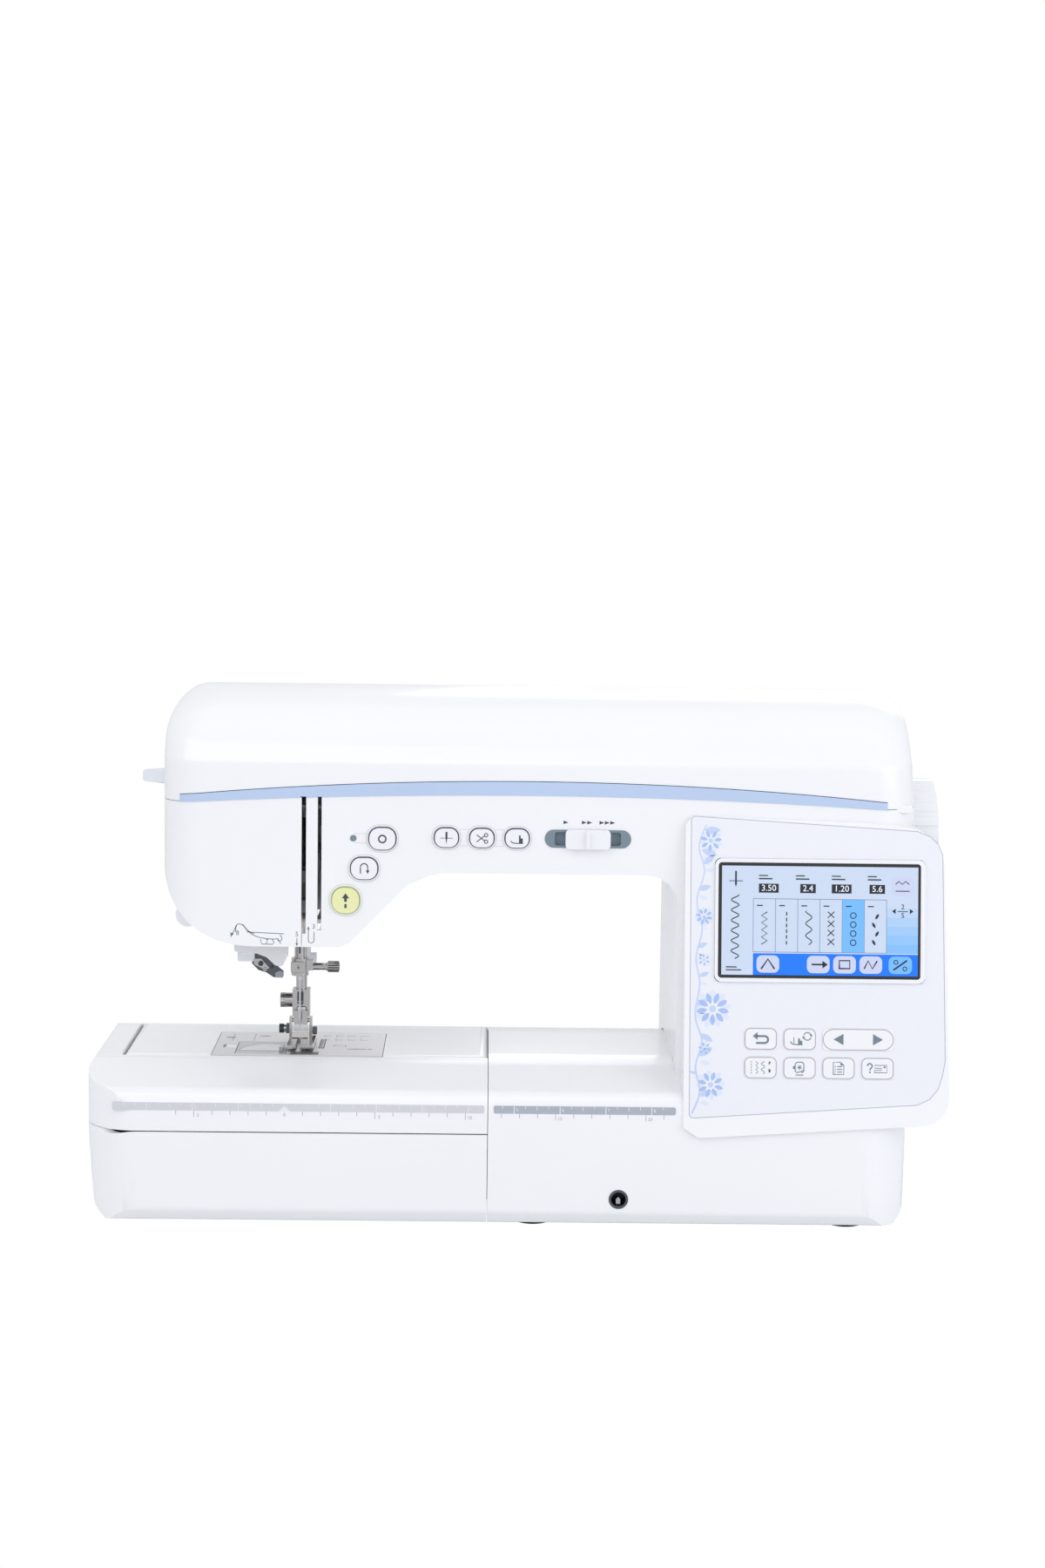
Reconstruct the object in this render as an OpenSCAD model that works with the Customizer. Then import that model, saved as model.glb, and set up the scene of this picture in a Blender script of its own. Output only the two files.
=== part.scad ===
// Computerised household sewing machine: free arm, slide-off flat bed, hinged lid and key panel.
// +X is the machine's right, +Y its back, +Z up; the origin is the middle of the footprint on the table.

/* [Body] */
// Left end of the flat bed, from the middle
bed_left = 240; // [236:1:250]
// Right end of the base, from the middle
base_right = 220; // [214:1:224]
// Front face of the base, from the middle
bed_front = 122; // [121:1:126]
// Back face of the base, from the middle
bed_back = 124.5; // [118:0.5:130]
// Height of the sewing surface
bed_z = 87.5; // [84:0.5:94]
// Where the slide-off bed meets the base
seam_x = -15.5; // [-20:0.5:-10]
// Wall of the moulded covers
wall = 2.4; // [2:0.1:3]
// Height of the covers above the table
ground = 3; // [2:0.5:5]

/* [Arm] */
// Left side of the head
arm_left = -199.5; // [-202:0.5:-196]
// Right side of the column
arm_right = 223; // [220:0.5:224]
// Front of the arm
arm_front = -97; // [-98:0.5:-95]
// Back of the arm
arm_back = 52; // [46:1:60]
// Height of the seam under the lid
seam_z = 234; // [232:0.5:238]
// Underside of the head
head_z = 153.5; // [150:0.5:157]
// Underside of the arm
under_z = 196; // [192:0.5:198]
// Top of the lid
lid_z = 295.5; // [290:0.5:302]
// Plan corner radius of the arm and lid
lid_corner = 24; // [16:1:30]

/* [Free arm] */
// Bed wall beyond the end of the free arm
free_inset = 16.5; // [14:0.5:22]
// Front of the free arm
free_front = -75; // [-78:0.5:-74]
// Back of the free arm
free_back = 15; // [12:0.5:20]
// Underside of the free arm
free_z = 30; // [26:1:34]

/* [Stitching] */
// Needle, left to right
needle_x = -125; // [-127:0.5:-123]
// Needle, front to back
needle_y = -43; // [-44:0.5:-42]
// Needle bar radius
needle_bar_r = 3.2; // [2.8:0.1:3.6]
// Needle stroke
needle_stroke = 30; // [26:1:32]
// Presser bar radius
presser_r = 3.2; // [2.8:0.1:3.6]
// Bobbin radius
bobbin_r = 10.2; // [9.8:0.1:10.4]
// Bobbin height
bobbin_h = 11.4; // [10.4:0.1:11.6]

/* [Drive] */
// Shaft radius
shaft_r = 4; // [3.5:0.1:4.5]
// Upper shaft and handwheel, front to back
shaft_y = -30; // [-34:1:-26]
// Upper shaft and handwheel height
shaft_z = 211; // [208:0.5:214]
// Handwheel radius
wheel_r = 34; // [30:0.5:36]
// Handwheel width
wheel_w = 16.5; // [12:0.5:17]
// Running fit of the shafts
run_gap = 0.05; // [0.03:0.01:0.08]

/* [Panel and keys] */
// Left side of the control panel
panel_left = 91; // [89:0.5:93]
// Right side of the control panel
panel_right = 240; // [236:0.5:243]
// Top of the control panel
panel_top = 230; // [226:0.5:233]
// Bottom of the control panel
panel_bottom = 55; // [52:0.5:60]
// Foot of the control panel, forward of the middle
panel_out = 124.5; // [124:0.5:127]
// Width of a panel key
key_w = 18; // [15:0.5:19]
// Height of a panel key
key_h = 12; // [9:0.5:13]
// Travel of the panel keys
key_travel = 0.5; // [0.3:0.1:0.8]
// Travel of the operation buttons
button_travel = 1; // [0.6:0.1:1.2]
// Corner radius of the operation buttons, as a share of their height
button_round = 0.45; // [0.2:0.05:0.48]
// Gap round a key
key_gap = 0.35; // [0.25:0.05:0.5]
// Thickness of a key
key_t = 3; // [2.4:0.1:3.6]

/* [Hidden] */
$fn = 48;
eps = 0.01;
gap = 0.35;

free_left = free_inset - bed_left;
shoulder_z = 76.5;
rear_z = bed_z - (bed_back - 14 - free_back) * tan(13);
split_y = -20;
plate_t = 2;
plate_x0 = -173;
plate_x1 = -76;
plate_y0 = free_front;
plate_y1 = -11;
hook_dx = 18;
hook_dy = 8;
hook_x = needle_x - hook_dx;
hook_y = needle_y - hook_dy;
hook_r = norm([hook_dx, hook_dy]) - 1.1;
column_x = 89.5;
barrel_r = 3;
barrel_l = 12;
pin_r = 1.4;
lid_hinge_xs = [arm_left + 48, arm_right - 60];
door_axis_y = -bed_front + 4;
door_axis_z = 57;
door_edge_r = 5;
door_hinge_xs = [-206, -66];
presser_y = needle_y + 14.5;
belt_x = 118;
motor_y = 18;
motor_z = 130;
pulley_r = 11;
drive_pulley_r = pulley_r + 2;
handle_z = 224;
door_y = free_front - gap - wall - 0.3;
door_z = 54;
panel_proud = 2.5;
key_plane = atan((panel_out + arm_front - panel_proud) / (panel_top - panel_bottom));

// Outlines drawn as [Y, Z] are run from x0 to x1.
module along_x(x0, x1) {
    translate([x0, 0, 0]) rotate([90, 0, 90]) linear_extrude(x1 - x0) children();
}

// Outlines drawn as [X, Z] are run from y0 to y1.
module along_y(y0, y1) {
    translate([0, y1, 0]) rotate([90, 0, 0]) linear_extrude(y1 - y0) children();
}

module along_z(z0, z1) {
    translate([0, 0, z0]) linear_extrude(z1 - z0) children();
}

module block(low, high) {
    translate(low) cube([high[0] - low[0], high[1] - low[1], high[2] - low[2]]);
}

module rod_x(x0, x1, y, z, r) {
    translate([x0, y, z]) rotate([0, 90, 0]) cylinder(r = r, h = x1 - x0);
}

module rod_y(x, y0, y1, z, r) {
    translate([x, y1, z]) rotate([90, 0, 0]) cylinder(r = r, h = y1 - y0);
}

module rod_z(x, y, z0, z1, r) {
    translate([x, y, z0]) cylinder(r = r, h = z1 - z0);
}

module round_rect(x0, y0, x1, y1, r) {
    translate([x0 + r, y0]) square([x1 - x0 - 2 * r, y1 - y0]);
    translate([x0, y0 + r]) square([x1 - x0, y1 - y0 - 2 * r]);
    for (x = [x0 + r, x1 - r], y = [y0 + r, y1 - r]) translate([x, y]) circle(r);
}

function bend(cx, cy, rx, ry, a0, a1, steps = 6) = [
    for (i = [0:steps]) let (a = a0 + (a1 - a0) * i / steps) [cx + rx * cos(a), cy + ry * sin(a)]
];

// Side outline of the bed, d inside the skin.
function bed_side(d) = concat(
    [[-bed_front + 4 + d, ground + d], [-bed_front + d, ground + 7 + d], [-bed_front + d, 68]],
    [[-bed_front + 3 + d, shoulder_z - d], [free_front, bed_z - d], [free_back, bed_z - d]],
    [[bed_back - 14 - d, rear_z - d], [bed_back - d, rear_z - 8 - d]],
    [[bed_back - d, ground + 7 + d], [bed_back - 5 - d, ground + d]]
);

// Front outline of the bed.
function bed_face(d) = [
    [-bed_left + 12 + d, ground - d], [-bed_left + 5 + d, ground + 6], [-bed_left + d, 58],
    [-bed_left + d, bed_z + 1], [base_right - d, bed_z + 1], [base_right - d, 58],
    [base_right - 2 - d, ground + 6], [base_right - 8 - d, ground - d]
];

module bed_plan(d) {
    r = 30;
    translate([-bed_left + d, -bed_front + d + r])
        square([bed_left + base_right - 2 * d, bed_front + bed_back - 2 * d - 2 * r]);
    translate([-bed_left + d + r, -bed_front + d])
        square([bed_left + base_right - 2 * d - 2 * r, bed_front + bed_back - 2 * d]);
    for (x = [-bed_left + d + r, base_right - d - r], y = [-bed_front + d + r, bed_back - d - r])
        translate([x, y]) circle(r);
}

module bed_form(d = 0) {
    intersection() {
        along_x(-bed_left - 1, base_right + 1) polygon(bed_side(d));
        along_y(-bed_front - 1, bed_back + 1) polygon(bed_face(d));
        along_z(0, bed_z + 1) bed_plan(d);
    }
}

// Front outline of the head, arm and column, d inside the skin.
function arm_face(d) = concat(
    [[arm_left + d, seam_z + (d > 0 ? 1 : 0)]],
    bend(arm_left + 50, head_z + 46, 50 - d, 46 - d, 180, 270, 8),
    [[-100 - d, head_z + d], [-94 - d, head_z + 2.6 + d], [-62 - d, under_z - 7 + d]],
    [[-50 - d, under_z - 1.6 + d], [-42, under_z + d]],
    [for (a = [90:-22.5:0]) [column_x - 18 + (18 + d) * cos(a), under_z - 18 + (18 + d) * sin(a)]],
    [[column_x + d, bed_z - 30]],
    [[arm_right - 3 - d, bed_z - 30], [arm_right - d, seam_z + (d > 0 ? 1 : 0)]]
);

module arm_plan(d) {
    round_rect(arm_left + d, arm_front + d, arm_right - d, arm_back - d, lid_corner - d);
}

module arm_form(d = 0) {
    intersection() {
        along_y(arm_front - 1, arm_back + 1) polygon(arm_face(d));
        along_x(arm_left - 1, arm_right + 1) polygon(arm_column_side(d));
        along_z(40, seam_z) arm_plan(d);
    }
}

// The head stops above the bed and the column runs down to it.
function arm_column_side(d) = [
    [arm_front + d, seam_z + 1], [arm_front + d, 50], [arm_back - d, 50], [arm_back - d, seam_z + 1]
];

module arm_shell() {
    difference() {
        arm_form(0);
        arm_form(wall);
        bed_form(0);
        head_opening();
    }
}

// Opening under the head for the needle, presser foot and threader.
module head_opening() {
    block([-164, needle_y - 28, head_z - 6], [-106, presser_y + 14, head_z + 9]);
}

strip_mid = 8;
strip_half = 197;
strip_rise = 6;
slot_left = -120.6;
slot_right = -112;
slot_w = 2.2;
slot_z = 161;

function strip_low(x) = seam_z + strip_rise * (1 - pow((x - strip_mid) / strip_half, 2));
function strip_high(x) = strip_low(x) + 4 + 3.6 * (1 - pow((x - strip_mid) / strip_half, 2));
strip_xs = [for (i = [-10:10]) strip_mid + strip_half * i / 10];

// Band along the front corners of the arm, from a flat base up to the given edge.
module brow(rise, out, inner) {
    intersection() {
        along_y(arm_front - 2, arm_front + lid_corner)
            polygon(concat([for (x = strip_xs) [x, strip_low(x) + rise]],
                [[strip_mid + strip_half, seam_z - 12], [strip_mid - strip_half, seam_z - 12]]));
        difference() {
            along_z(seam_z, seam_z + 30) arm_plan(-out);
            along_z(seam_z - 1, seam_z + 31) arm_plan(inner);
        }
    }
}

module front_cover() {
    color([0.96, 0.97, 0.98]) {
        difference() {
            arm_shell();
            block([arm_left - 1, arm_front - 1, 40], [slot_left, split_y + 1, seam_z + 1]);
            block([arm_left - 1, split_y, 40], [arm_right + 1, arm_back + 1, seam_z + 1]);
            block([slot_left - 1, arm_front - 1, slot_z], [slot_left + slot_w, arm_front + 12, seam_z + 1]);
            block([slot_right, arm_front - 1, slot_z + 2], [slot_right + slot_w, arm_front + 12, seam_z + 1]);
            button_holes();
            panel_window();
            wheel_opening();
        }
        difference() {
            brow(0, 0, wall);
            block([arm_left - 1, arm_front - 3, seam_z - 1], [slot_left, arm_front + 40, seam_z + 9]);
            block([slot_left - 1, arm_front - 3, seam_z - 1], [slot_left + slot_w, arm_front + 12, seam_z + 9]);
            block([slot_right, arm_front - 3, seam_z - 1], [slot_right + slot_w, arm_front + 12, seam_z + 9]);
        }
    }
}

module rear_cover() {
    color([0.95, 0.96, 0.97]) {
        difference() {
            arm_shell();
            block([arm_left - 1, arm_front - 1, 40], [arm_right + 1, split_y, seam_z + 1]);
            wheel_opening();
            lever_opening();
            for (i = [0:7])
                block([120 + 9 * i, arm_back - 5, 150], [123.5 + 9 * i, arm_back + 1, 190]);
            for (x = lid_hinge_xs) rod_x(x - gap, x + barrel_l + gap, arm_back, seam_z, barrel_r + gap);
        }
        // Hinge barrels of the lid, and their pins.
        for (x = lid_hinge_xs) {
            for (e = [x - gap - 6, x + barrel_l + gap]) rod_x(e, e + 6, arm_back, seam_z, barrel_r);
            rod_x(x - gap - eps, x + barrel_l + gap + eps, arm_back, seam_z, pin_r);
        }
        // Deck under the lid, with the spool recess.
        difference() {
            intersection() {
                along_z(deck_z - plate_t, deck_z) arm_plan(wall);
                block([arm_left, split_y - 40, 0], [arm_right, arm_back, 300]);
            }
            for (x = [0, winder_travel]) rod_z(winder_x + x, winder_y, deck_z - 9, deck_z + 1, 5);
            block([winder_x, winder_y - 5, deck_z - 9], [winder_x + winder_travel, winder_y + 5, deck_z + 1]);
            rod_z(spool_x, spool_y, deck_z - 9, deck_z + 1, 3.4);
            block([arm_left, lever_y - 6, deck_z - 9], [rail_x + 5.5, lever_y + 6, deck_z + 1]);
        }
        for (x = handle_xs)
            rod_x(x - 4, x + 4, arm_back + 5.4, handle_z, 2);
        for (x = handle_xs, s = [-1, 1])
            block([x + s * 4 - 2, arm_back - 0.01, handle_z - 5], [x + s * 4 + 2, arm_back + 8, handle_z + 5]);
    }
}

deck_z = seam_z - 5;
winder_x = 184;
winder_y = -40;
winder_travel = 5;
spool_x = 150;
spool_y = 22;
handle_xs = [-62, 112];
handle_l = 22;

module face_cover() {
    color([0.96, 0.97, 0.98]) {
        difference() {
            brow(0, 0, wall);
            block([slot_left - gap, arm_front - 3, seam_z - 1], [arm_right, arm_front + 40, seam_z + 9]);
        }
        difference() {
            arm_shell();
            block([slot_left - gap, arm_front - 1, 40], [arm_right + 1, arm_back + 1, seam_z + 1]);
            block([arm_left - 1, split_y, 40], [arm_right + 1, arm_back + 1, seam_z + 1]);
            // Slot of the threader lever, down the left side.
            block([arm_left - 1, lever_y - stem_w / 2 - 0.5, lever_top - lever_drop - 10],
                [arm_left + 9, lever_y + stem_w / 2 + 0.5, seam_z + 1]);
        }
    }
}

lever_y = -50;
stem_w = 3.6;
lever_top = 248;
lever_drop = 44;
rail_x = arm_left + 12.5;
rail_r = 1.5;
rail_z = lever_top - lever_drop - 18;

module base_cover() {
    color([0.96, 0.97, 0.98]) difference() {
        bed_form(0);
        intersection() {
            bed_form(wall);
            block([seam_x + wall, -bed_front, 0], [base_right, bed_back, bed_z]);
        }
        block([-bed_left - 1, -bed_front - 2, 0], [seam_x, bed_back + 1, bed_z + 2]);
        block([seam_x + wall, -bed_front + 8, 0], [base_right - 12, bed_back - 9, ground + wall + 1]);
        // Way through for the free arm and the plinth under it.
        block([seam_x - 1, free_front + 10, free_z + wall], [seam_x + wall + 1, free_back - 6, bed_z - 10]);
        block([seam_x - 1, free_front + 5, 0], [seam_x + wall + 1, free_back - 5, ground + plate_t + 1]);
        // The column opens into the base.
        block([column_x + 10, -70, 60], [arm_right - 12, arm_back - 8, bed_z + 1]);
        rod_y(knee_x, -bed_front - 1, -bed_front + wall + 1, knee_z, knee_r);
        block([inlet_x0, inlet_y0, inlet_z0], [base_right + 1, inlet_y1, inlet_z1]);
    }
}

knee_x = 57.4;
knee_z = 17.7;
knee_r = 5.4;
inlet_x0 = base_right - 12;
inlet_y0 = 20;
inlet_y1 = 80;
inlet_z0 = 16;
inlet_z1 = 54;
jack_r = 3.2;

module bottom_plate() {
    color([0.3, 0.31, 0.33]) difference() {
        union() {
            block([seam_x + wall, -bed_front + 8, ground], [base_right - 12, bed_back - 9, ground + plate_t]);
            block([-150, free_front + 6, ground], [seam_x + wall + eps, free_back - 6, ground + plate_t]);
            // Post that carries the free arm, and the casting.
            block([-40, free_front + 20, ground], [seam_x - 4, free_back - 14, free_z + wall + 1]);
            block([120, presser_y + 16, ground], [180, presser_y + 42, 14]);
            intersection() {
                rod_y(knee_x, -bed_front + wall, -bed_front + 24, knee_z, 9);
                along_x(knee_x - 10, knee_x + 10) polygon(bed_side(wall));
            }
            block([knee_x - 4, -bed_front + 9, ground], [knee_x + 4, -bed_front + 24, knee_z - 6]);
        }
        rod_y(knee_x, -bed_front - 1, -bed_front + 25, knee_z, knee_r);
    }
}

foot_xs = [-130, 10, base_right - 34];
foot_r = 10;

module rubber_feet() {
    color([0.16, 0.16, 0.17]) {
        for (x = [foot_xs[1], foot_xs[2]], y = [-bed_front + 22, bed_back - 24])
            rod_z(x, y, 0, ground, foot_r);
        rod_z(foot_xs[0], (free_front + free_back) / 2, 0, ground, foot_r);
    }
}

module free_arm_form(d) {
    intersection() {
        along_y(free_front + d, free_back - d)
            round_rect(free_left + d, free_z + d, seam_x - d + (d > 0 ? 3 : 0), bed_z - d, 5);
        along_x(free_left, seam_x + 10)
            round_rect(free_front + d, free_z + d, free_back - d, bed_z - d, 4);
    }
}

module free_arm_cover() {
    color([0.95, 0.96, 0.97]) difference() {
        free_arm_form(0);
        free_arm_form(wall);
        block([plate_x0 - gap, plate_y0 - 1, bed_z - plate_t], [plate_x1 + gap, plate_y1 + gap, bed_z + 1]);
        block([plate_x0 + 6, plate_y0 + wall, bed_z - 6], [plate_x1 - 4, plate_y1 - 4, bed_z + 1]);
        block([seam_x - 4, free_front + 8, free_z - 1], [seam_x + 1, free_back - 8, bed_z - 8]);
        block([-44, free_front + 19, free_z - 1], [seam_x - 3, free_back - 13, free_z + 6]);
    }
}

cover_x0 = hook_x - 17;
cover_x1 = hook_x + 11.5;
cover_y0 = hook_y - 20;
cover_y1 = hook_y + 12;
feed_xs = [needle_x - 3.4, needle_x + 5.2, needle_x + 13.2];
feed_y0 = needle_y - 11;
feed_y1 = needle_y + 13;
seat_z = bed_z - plate_t;

module needle_plate() {
    color([0.8, 0.8, 0.82]) difference() {
        block([plate_x0, plate_y0, seat_z], [plate_x1, plate_y1, bed_z]);
        // Bobbin well, with a ledge for its cover.
        block([cover_x0 + 1, cover_y0 + 1, seat_z - 1], [cover_x1 - 1, cover_y1 - 1, bed_z + 1]);
        block([cover_x0 - gap, cover_y0 - gap, bed_z - 1.2], [cover_x1 + gap, cover_y1 + gap, bed_z + 1]);
        block([cover_x0 - 8 - gap, hook_y - 4, seat_z - 1], [cover_x0 + 2, hook_y + 4, bed_z + 1]);
        for (x = feed_xs)
            block([x - 1.6, feed_y0 - 1.6, seat_z - 1], [x + 1.6, feed_y1 + 1.6, bed_z + 1]);
        along_z(seat_z - 1, bed_z + 1)
            round_rect(needle_x - 1.7, needle_y - 1, needle_x + 3.5, needle_y + 1, 0.9);
        rod_z(needle_x, needle_y, seat_z - 1, bed_z + 1, 1.4);
        // Seam guide lines.
        for (i = [1:5])
            block([needle_x + 14 + 6.3 * i, plate_y0 + 6, bed_z - 0.2],
                [needle_x + 14.5 + 6.3 * i, plate_y1 - 6, bed_z + 1]);
    }
}

module bobbin_cover() {
    color([0.72, 0.78, 0.86, 0.5])
        block([cover_x0, cover_y0, bed_z - 1.2 + eps], [cover_x1, cover_y1, bed_z]);
}

module cover_latch() {
    color([0.85, 0.86, 0.88])
        block([cover_x0 - 8 + 1.2, hook_y - 3.6, seat_z + 0.1], [cover_x0 - gap - 0.15, hook_y + 3.6, bed_z]);
}

bobbin_z = seat_z - 2.2 - bobbin_h;

module bobbin() {
    color([0.8, 0.86, 0.95, 0.7]) difference() {
        union() {
            rod_z(hook_x, hook_y, bobbin_z, bobbin_z + 1.2, bobbin_r);
            rod_z(hook_x, hook_y, bobbin_z + bobbin_h - 1.2, bobbin_z + bobbin_h, bobbin_r);
            rod_z(hook_x, hook_y, bobbin_z, bobbin_z + bobbin_h, 4.4);
        }
        rod_z(hook_x, hook_y, bobbin_z - 1, bobbin_z + bobbin_h + 1, 3);
    }
}

case_z = bobbin_z - 2.2;
case_r = bobbin_r + 1.6;

module bobbin_case() {
    color([0.12, 0.12, 0.13]) difference() {
        union() {
            rod_z(hook_x, hook_y, case_z, case_z + 12, case_r);
            block([hook_x - 24, hook_y - 3, case_z + 8], [hook_x - case_r + 1, hook_y + 3, case_z + 10]);
        }
        rod_z(hook_x, hook_y, case_z + 1.8, case_z + 13, bobbin_r + 0.5);
    }
}

hook_z = case_z - 4;
hook_gear_r = 8.5;
worm_r = 5.5;
lower_y = hook_y + hook_gear_r + worm_r + 0.4;
lower_z = hook_z - 4.5;

module rotary_hook() {
    color([0.7, 0.71, 0.74]) {
        difference() {
            union() {
                rod_z(hook_x, hook_y, lower_z + worm_r + 0.5, hook_z + 10, hook_r);
                rod_z(hook_x, hook_y, hook_z - 20, hook_z + 3, 3);
                rod_z(hook_x, hook_y, hook_z - 9, hook_z, hook_gear_r);
            }
            rod_z(hook_x, hook_y, case_z - 0.3, hook_z + 11, case_r + gap);
            block([hook_x + case_r - 1, hook_y - 30, hook_z + 6], [hook_x + 30, hook_y - 5, hook_z + 11]);
        }
    }
}

module feed_dogs() {
    color([0.62, 0.63, 0.66]) {
        for (x = feed_xs) difference() {
            block([x - 1.2, feed_y0, bed_z - 8], [x + 1.2, feed_y1, bed_z + 0.3]);
            for (y = [feed_y0 + 1:1.6:feed_y1 - 1])
                translate([x - 2, y, bed_z + 0.3]) rotate([45, 0, 0])
                    translate([0, -0.3, -0.3]) cube([4, 0.6, 0.6]);
        }
        // Carrier bar on its way back to the feed shaft.
        block([feed_xs[0] - 1.2, feed_y1 - 3, bed_z - 12], [feed_xs[2] + 1.2, feed_y1 + 6, bed_z - 8]);
    }
}

module lower_shaft() {
    color([0.7, 0.71, 0.74]) {
        rod_x(hook_x - 14, belt_x + 22, lower_y, lower_z, shaft_r);
        rod_x(belt_x - 6, belt_x + 6, lower_y, lower_z, pulley_r);
        rod_x(belt_x - 7.2, belt_x - 6, lower_y, lower_z, pulley_r + 2);
        rod_x(belt_x + 6, belt_x + 7.2, lower_y, lower_z, pulley_r + 2);
        rod_x(hook_x - 9, hook_x + 9, lower_y, lower_z, worm_r);
    }
}

bearing_xs = [-52, 62];
rib_x = arm_left + 29.5;
guide_zs = [head_z + 12, head_z + 29];
threader_x = needle_x - 27;
threader_y = needle_y - 9;
threader_r = 2.2;

module bearing_arm(x, y, z, y_wall) {
    difference() {
        union() {
            rod_x(x - 5, x + 5, y, z, 9);
            block([x - 5, y, z - 7], [x + 5, y_wall, z + 7]);
        }
        rod_x(x - 6, x + 6, y, z, shaft_r + run_gap);
    }
}

module machine_frame() {
    color([0.74, 0.75, 0.77]) {
        difference() {
            union() {
                block([-178, presser_y + 16, under_z + 4], [204, presser_y + 22, deck_z - plate_t - 1]);
                block([110, presser_y + 16, 14], [190, presser_y + 22, under_z + 4]);
                block([rib_x, presser_y + 16, head_z + 8], [rib_x + 66, presser_y + 22, under_z + 4]);
                block([-196 + wall, presser_y + 16, free_z + wall + 1], [110, presser_y + 22, 66]);
                block([120, presser_y + 16, 14], [180, presser_y + 42, 20]);
            }
            for (x = [-20, 20]) block([x - 14, presser_y + 15, 40], [x + 14, presser_y + 23, 58]);
            rod_y(160, presser_y + 10, presser_y + 30, 60, 16);
            block([belt_x + 14, presser_y + 15, motor_z - 10], [belt_x + 30, presser_y + 23, deck_z]);
        }
        for (x = concat(bearing_xs, [196])) bearing_arm(x, shaft_y, shaft_z, presser_y + 16 + eps);
        for (x = bearing_xs) bearing_arm(x, lower_y, lower_z, presser_y + 16 + eps);
        // Guides of the needle bar and the presser bar.
        for (z = guide_zs) difference() {
            union() {
                block([needle_x - 8, needle_y - 7, z], [needle_x + 8, presser_y + 16 + eps, z + 7]);
                if (z > guide_zs[0])
                    block([threader_x - 5, threader_y - 5, z], [needle_x - 7, threader_y + 5, z + 7]);
            }
            rod_z(threader_x, threader_y, z - 1, z + 8, threader_r + run_gap);
            rod_z(needle_x, needle_y, z - 1, z + 8, needle_bar_r + run_gap);
            rod_z(needle_x, presser_y, z - 1, z + 8, presser_r + run_gap);
        }
        // Rail of the threader lever, on its bracket.
        rod_z(rail_x, lever_y, rail_z - eps, lever_top - 0.5, rail_r);
        block([rail_x - 2.5, lever_y - 3, rail_z - 5], [rail_x + 2.5, presser_y + 22, rail_z]);
        block([rail_x - 2.5, presser_y + 16, rail_z - 5], [rib_x + 4, presser_y + 22, rail_z]);
        // Pivot of the presser lever.
        rod_x(needle_x - 10, needle_x + 10, presser_lever_y, presser_lever_z, 2.5);
        for (x = [needle_x - 11, needle_x + 8])
            block([x, presser_y + 22 - eps, presser_lever_z - 4],
                [x + 3, presser_lever_y + 4, presser_lever_z + 4]);
        // Pivot of the take-up lever.
        block([needle_x + 6.8, lever_pivot[1] - 5, lever_pivot[2] - 5],
            [slot_right - 1, presser_y + 16 + eps, lever_pivot[2] + 5]);
        rod_x(slot_right - 1.5, slot_right + 5.6, lever_pivot[1], lever_pivot[2], 1.9);
        // Bearing of the hook.
        difference() {
            block([hook_x - 8, hook_y - 8, hook_z - 20], [hook_x + 8, presser_y + 16 + eps, hook_z - 16]);
            rod_z(hook_x, hook_y, hook_z - 21, hook_z - 15, 3 + run_gap);
        }
    }
}

module pulley(x, y, z, r, w) {
    rod_x(x - w / 2, x + w / 2, y, z, r);
    for (s = [-1, 1]) rod_x(x + s * (w / 2 + 0.6) - 0.6, x + s * (w / 2 + 0.6) + 0.6, y, z, r + 2);
}

crank_x = needle_x + 19;

module upper_shaft() {
    color([0.7, 0.71, 0.74]) {
        rod_x(crank_x, arm_right + wheel_w - 3, shaft_y, shaft_z, shaft_r);
        pulley(belt_x, shaft_y, shaft_z, pulley_r, 12);
        pulley(belt_x + 22, shaft_y, shaft_z, drive_pulley_r, 8);
        // Counterweighted crank that drives the needle bar and the take-up lever.
        rod_x(crank_x, crank_x + 7, shaft_y, shaft_z, 13);
    }
}

module handwheel() {
    color([0.93, 0.95, 0.97]) difference() {
        union() {
            rod_x(arm_right + gap, arm_right + wheel_w, shaft_y, shaft_z, wheel_r);
            rod_x(arm_right - 12, arm_right + gap, shaft_y, shaft_z, 12);
        }
        rod_x(arm_right - 13, arm_right + wheel_w - 3, shaft_y, shaft_z, shaft_r);
        rod_x(arm_right + wheel_w - 2, arm_right + wheel_w + 1, shaft_y, shaft_z, wheel_r - 8);
        for (a = [0:15:345]) translate([0, shaft_y, shaft_z]) rotate([a, 0, 0])
            rod_x(arm_right + 3, arm_right + wheel_w + 1, wheel_r + 1.4, 0, 2.4);
    }
}

module wheel_opening() {
    rod_x(arm_right - 8, arm_right + 1, shaft_y, shaft_z, 13);
}

lever_pivot = [0, needle_y - 12, under_z];
lever_l = 37;

module take_up_lever() {
    color([0.78, 0.79, 0.81]) difference() {
        union() {
            translate([slot_right + 0.5, lever_pivot[1], lever_pivot[2]]) rotate([-45, 0, 0])
                block([0, -lever_l, -3], [1.2, 0, 3]);
            rod_x(slot_right + 0.5, slot_right + 5, lever_pivot[1], lever_pivot[2], 5);
        }
        rod_x(slot_right - 1, slot_right + 8, lever_pivot[1], lever_pivot[2], 1.95);
        translate([slot_right, lever_pivot[1], lever_pivot[2]]) rotate([-45, 0, 0])
            rod_x(-1, 3, 3.5 - lever_l, 0, 1.4);
    }
}

clamp_z = head_z - 19.5;

module needle_bar() {
    color([0.82, 0.83, 0.85]) {
        rod_z(needle_x, needle_y, clamp_z, deck_z - plate_t - 0.6, needle_bar_r);
        block([needle_x - 5, needle_y - 5, guide_zs[1] + 8 + needle_stroke],
            [needle_x + 5, needle_y + 5, deck_z - plate_t - 1]);
    }
}

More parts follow.
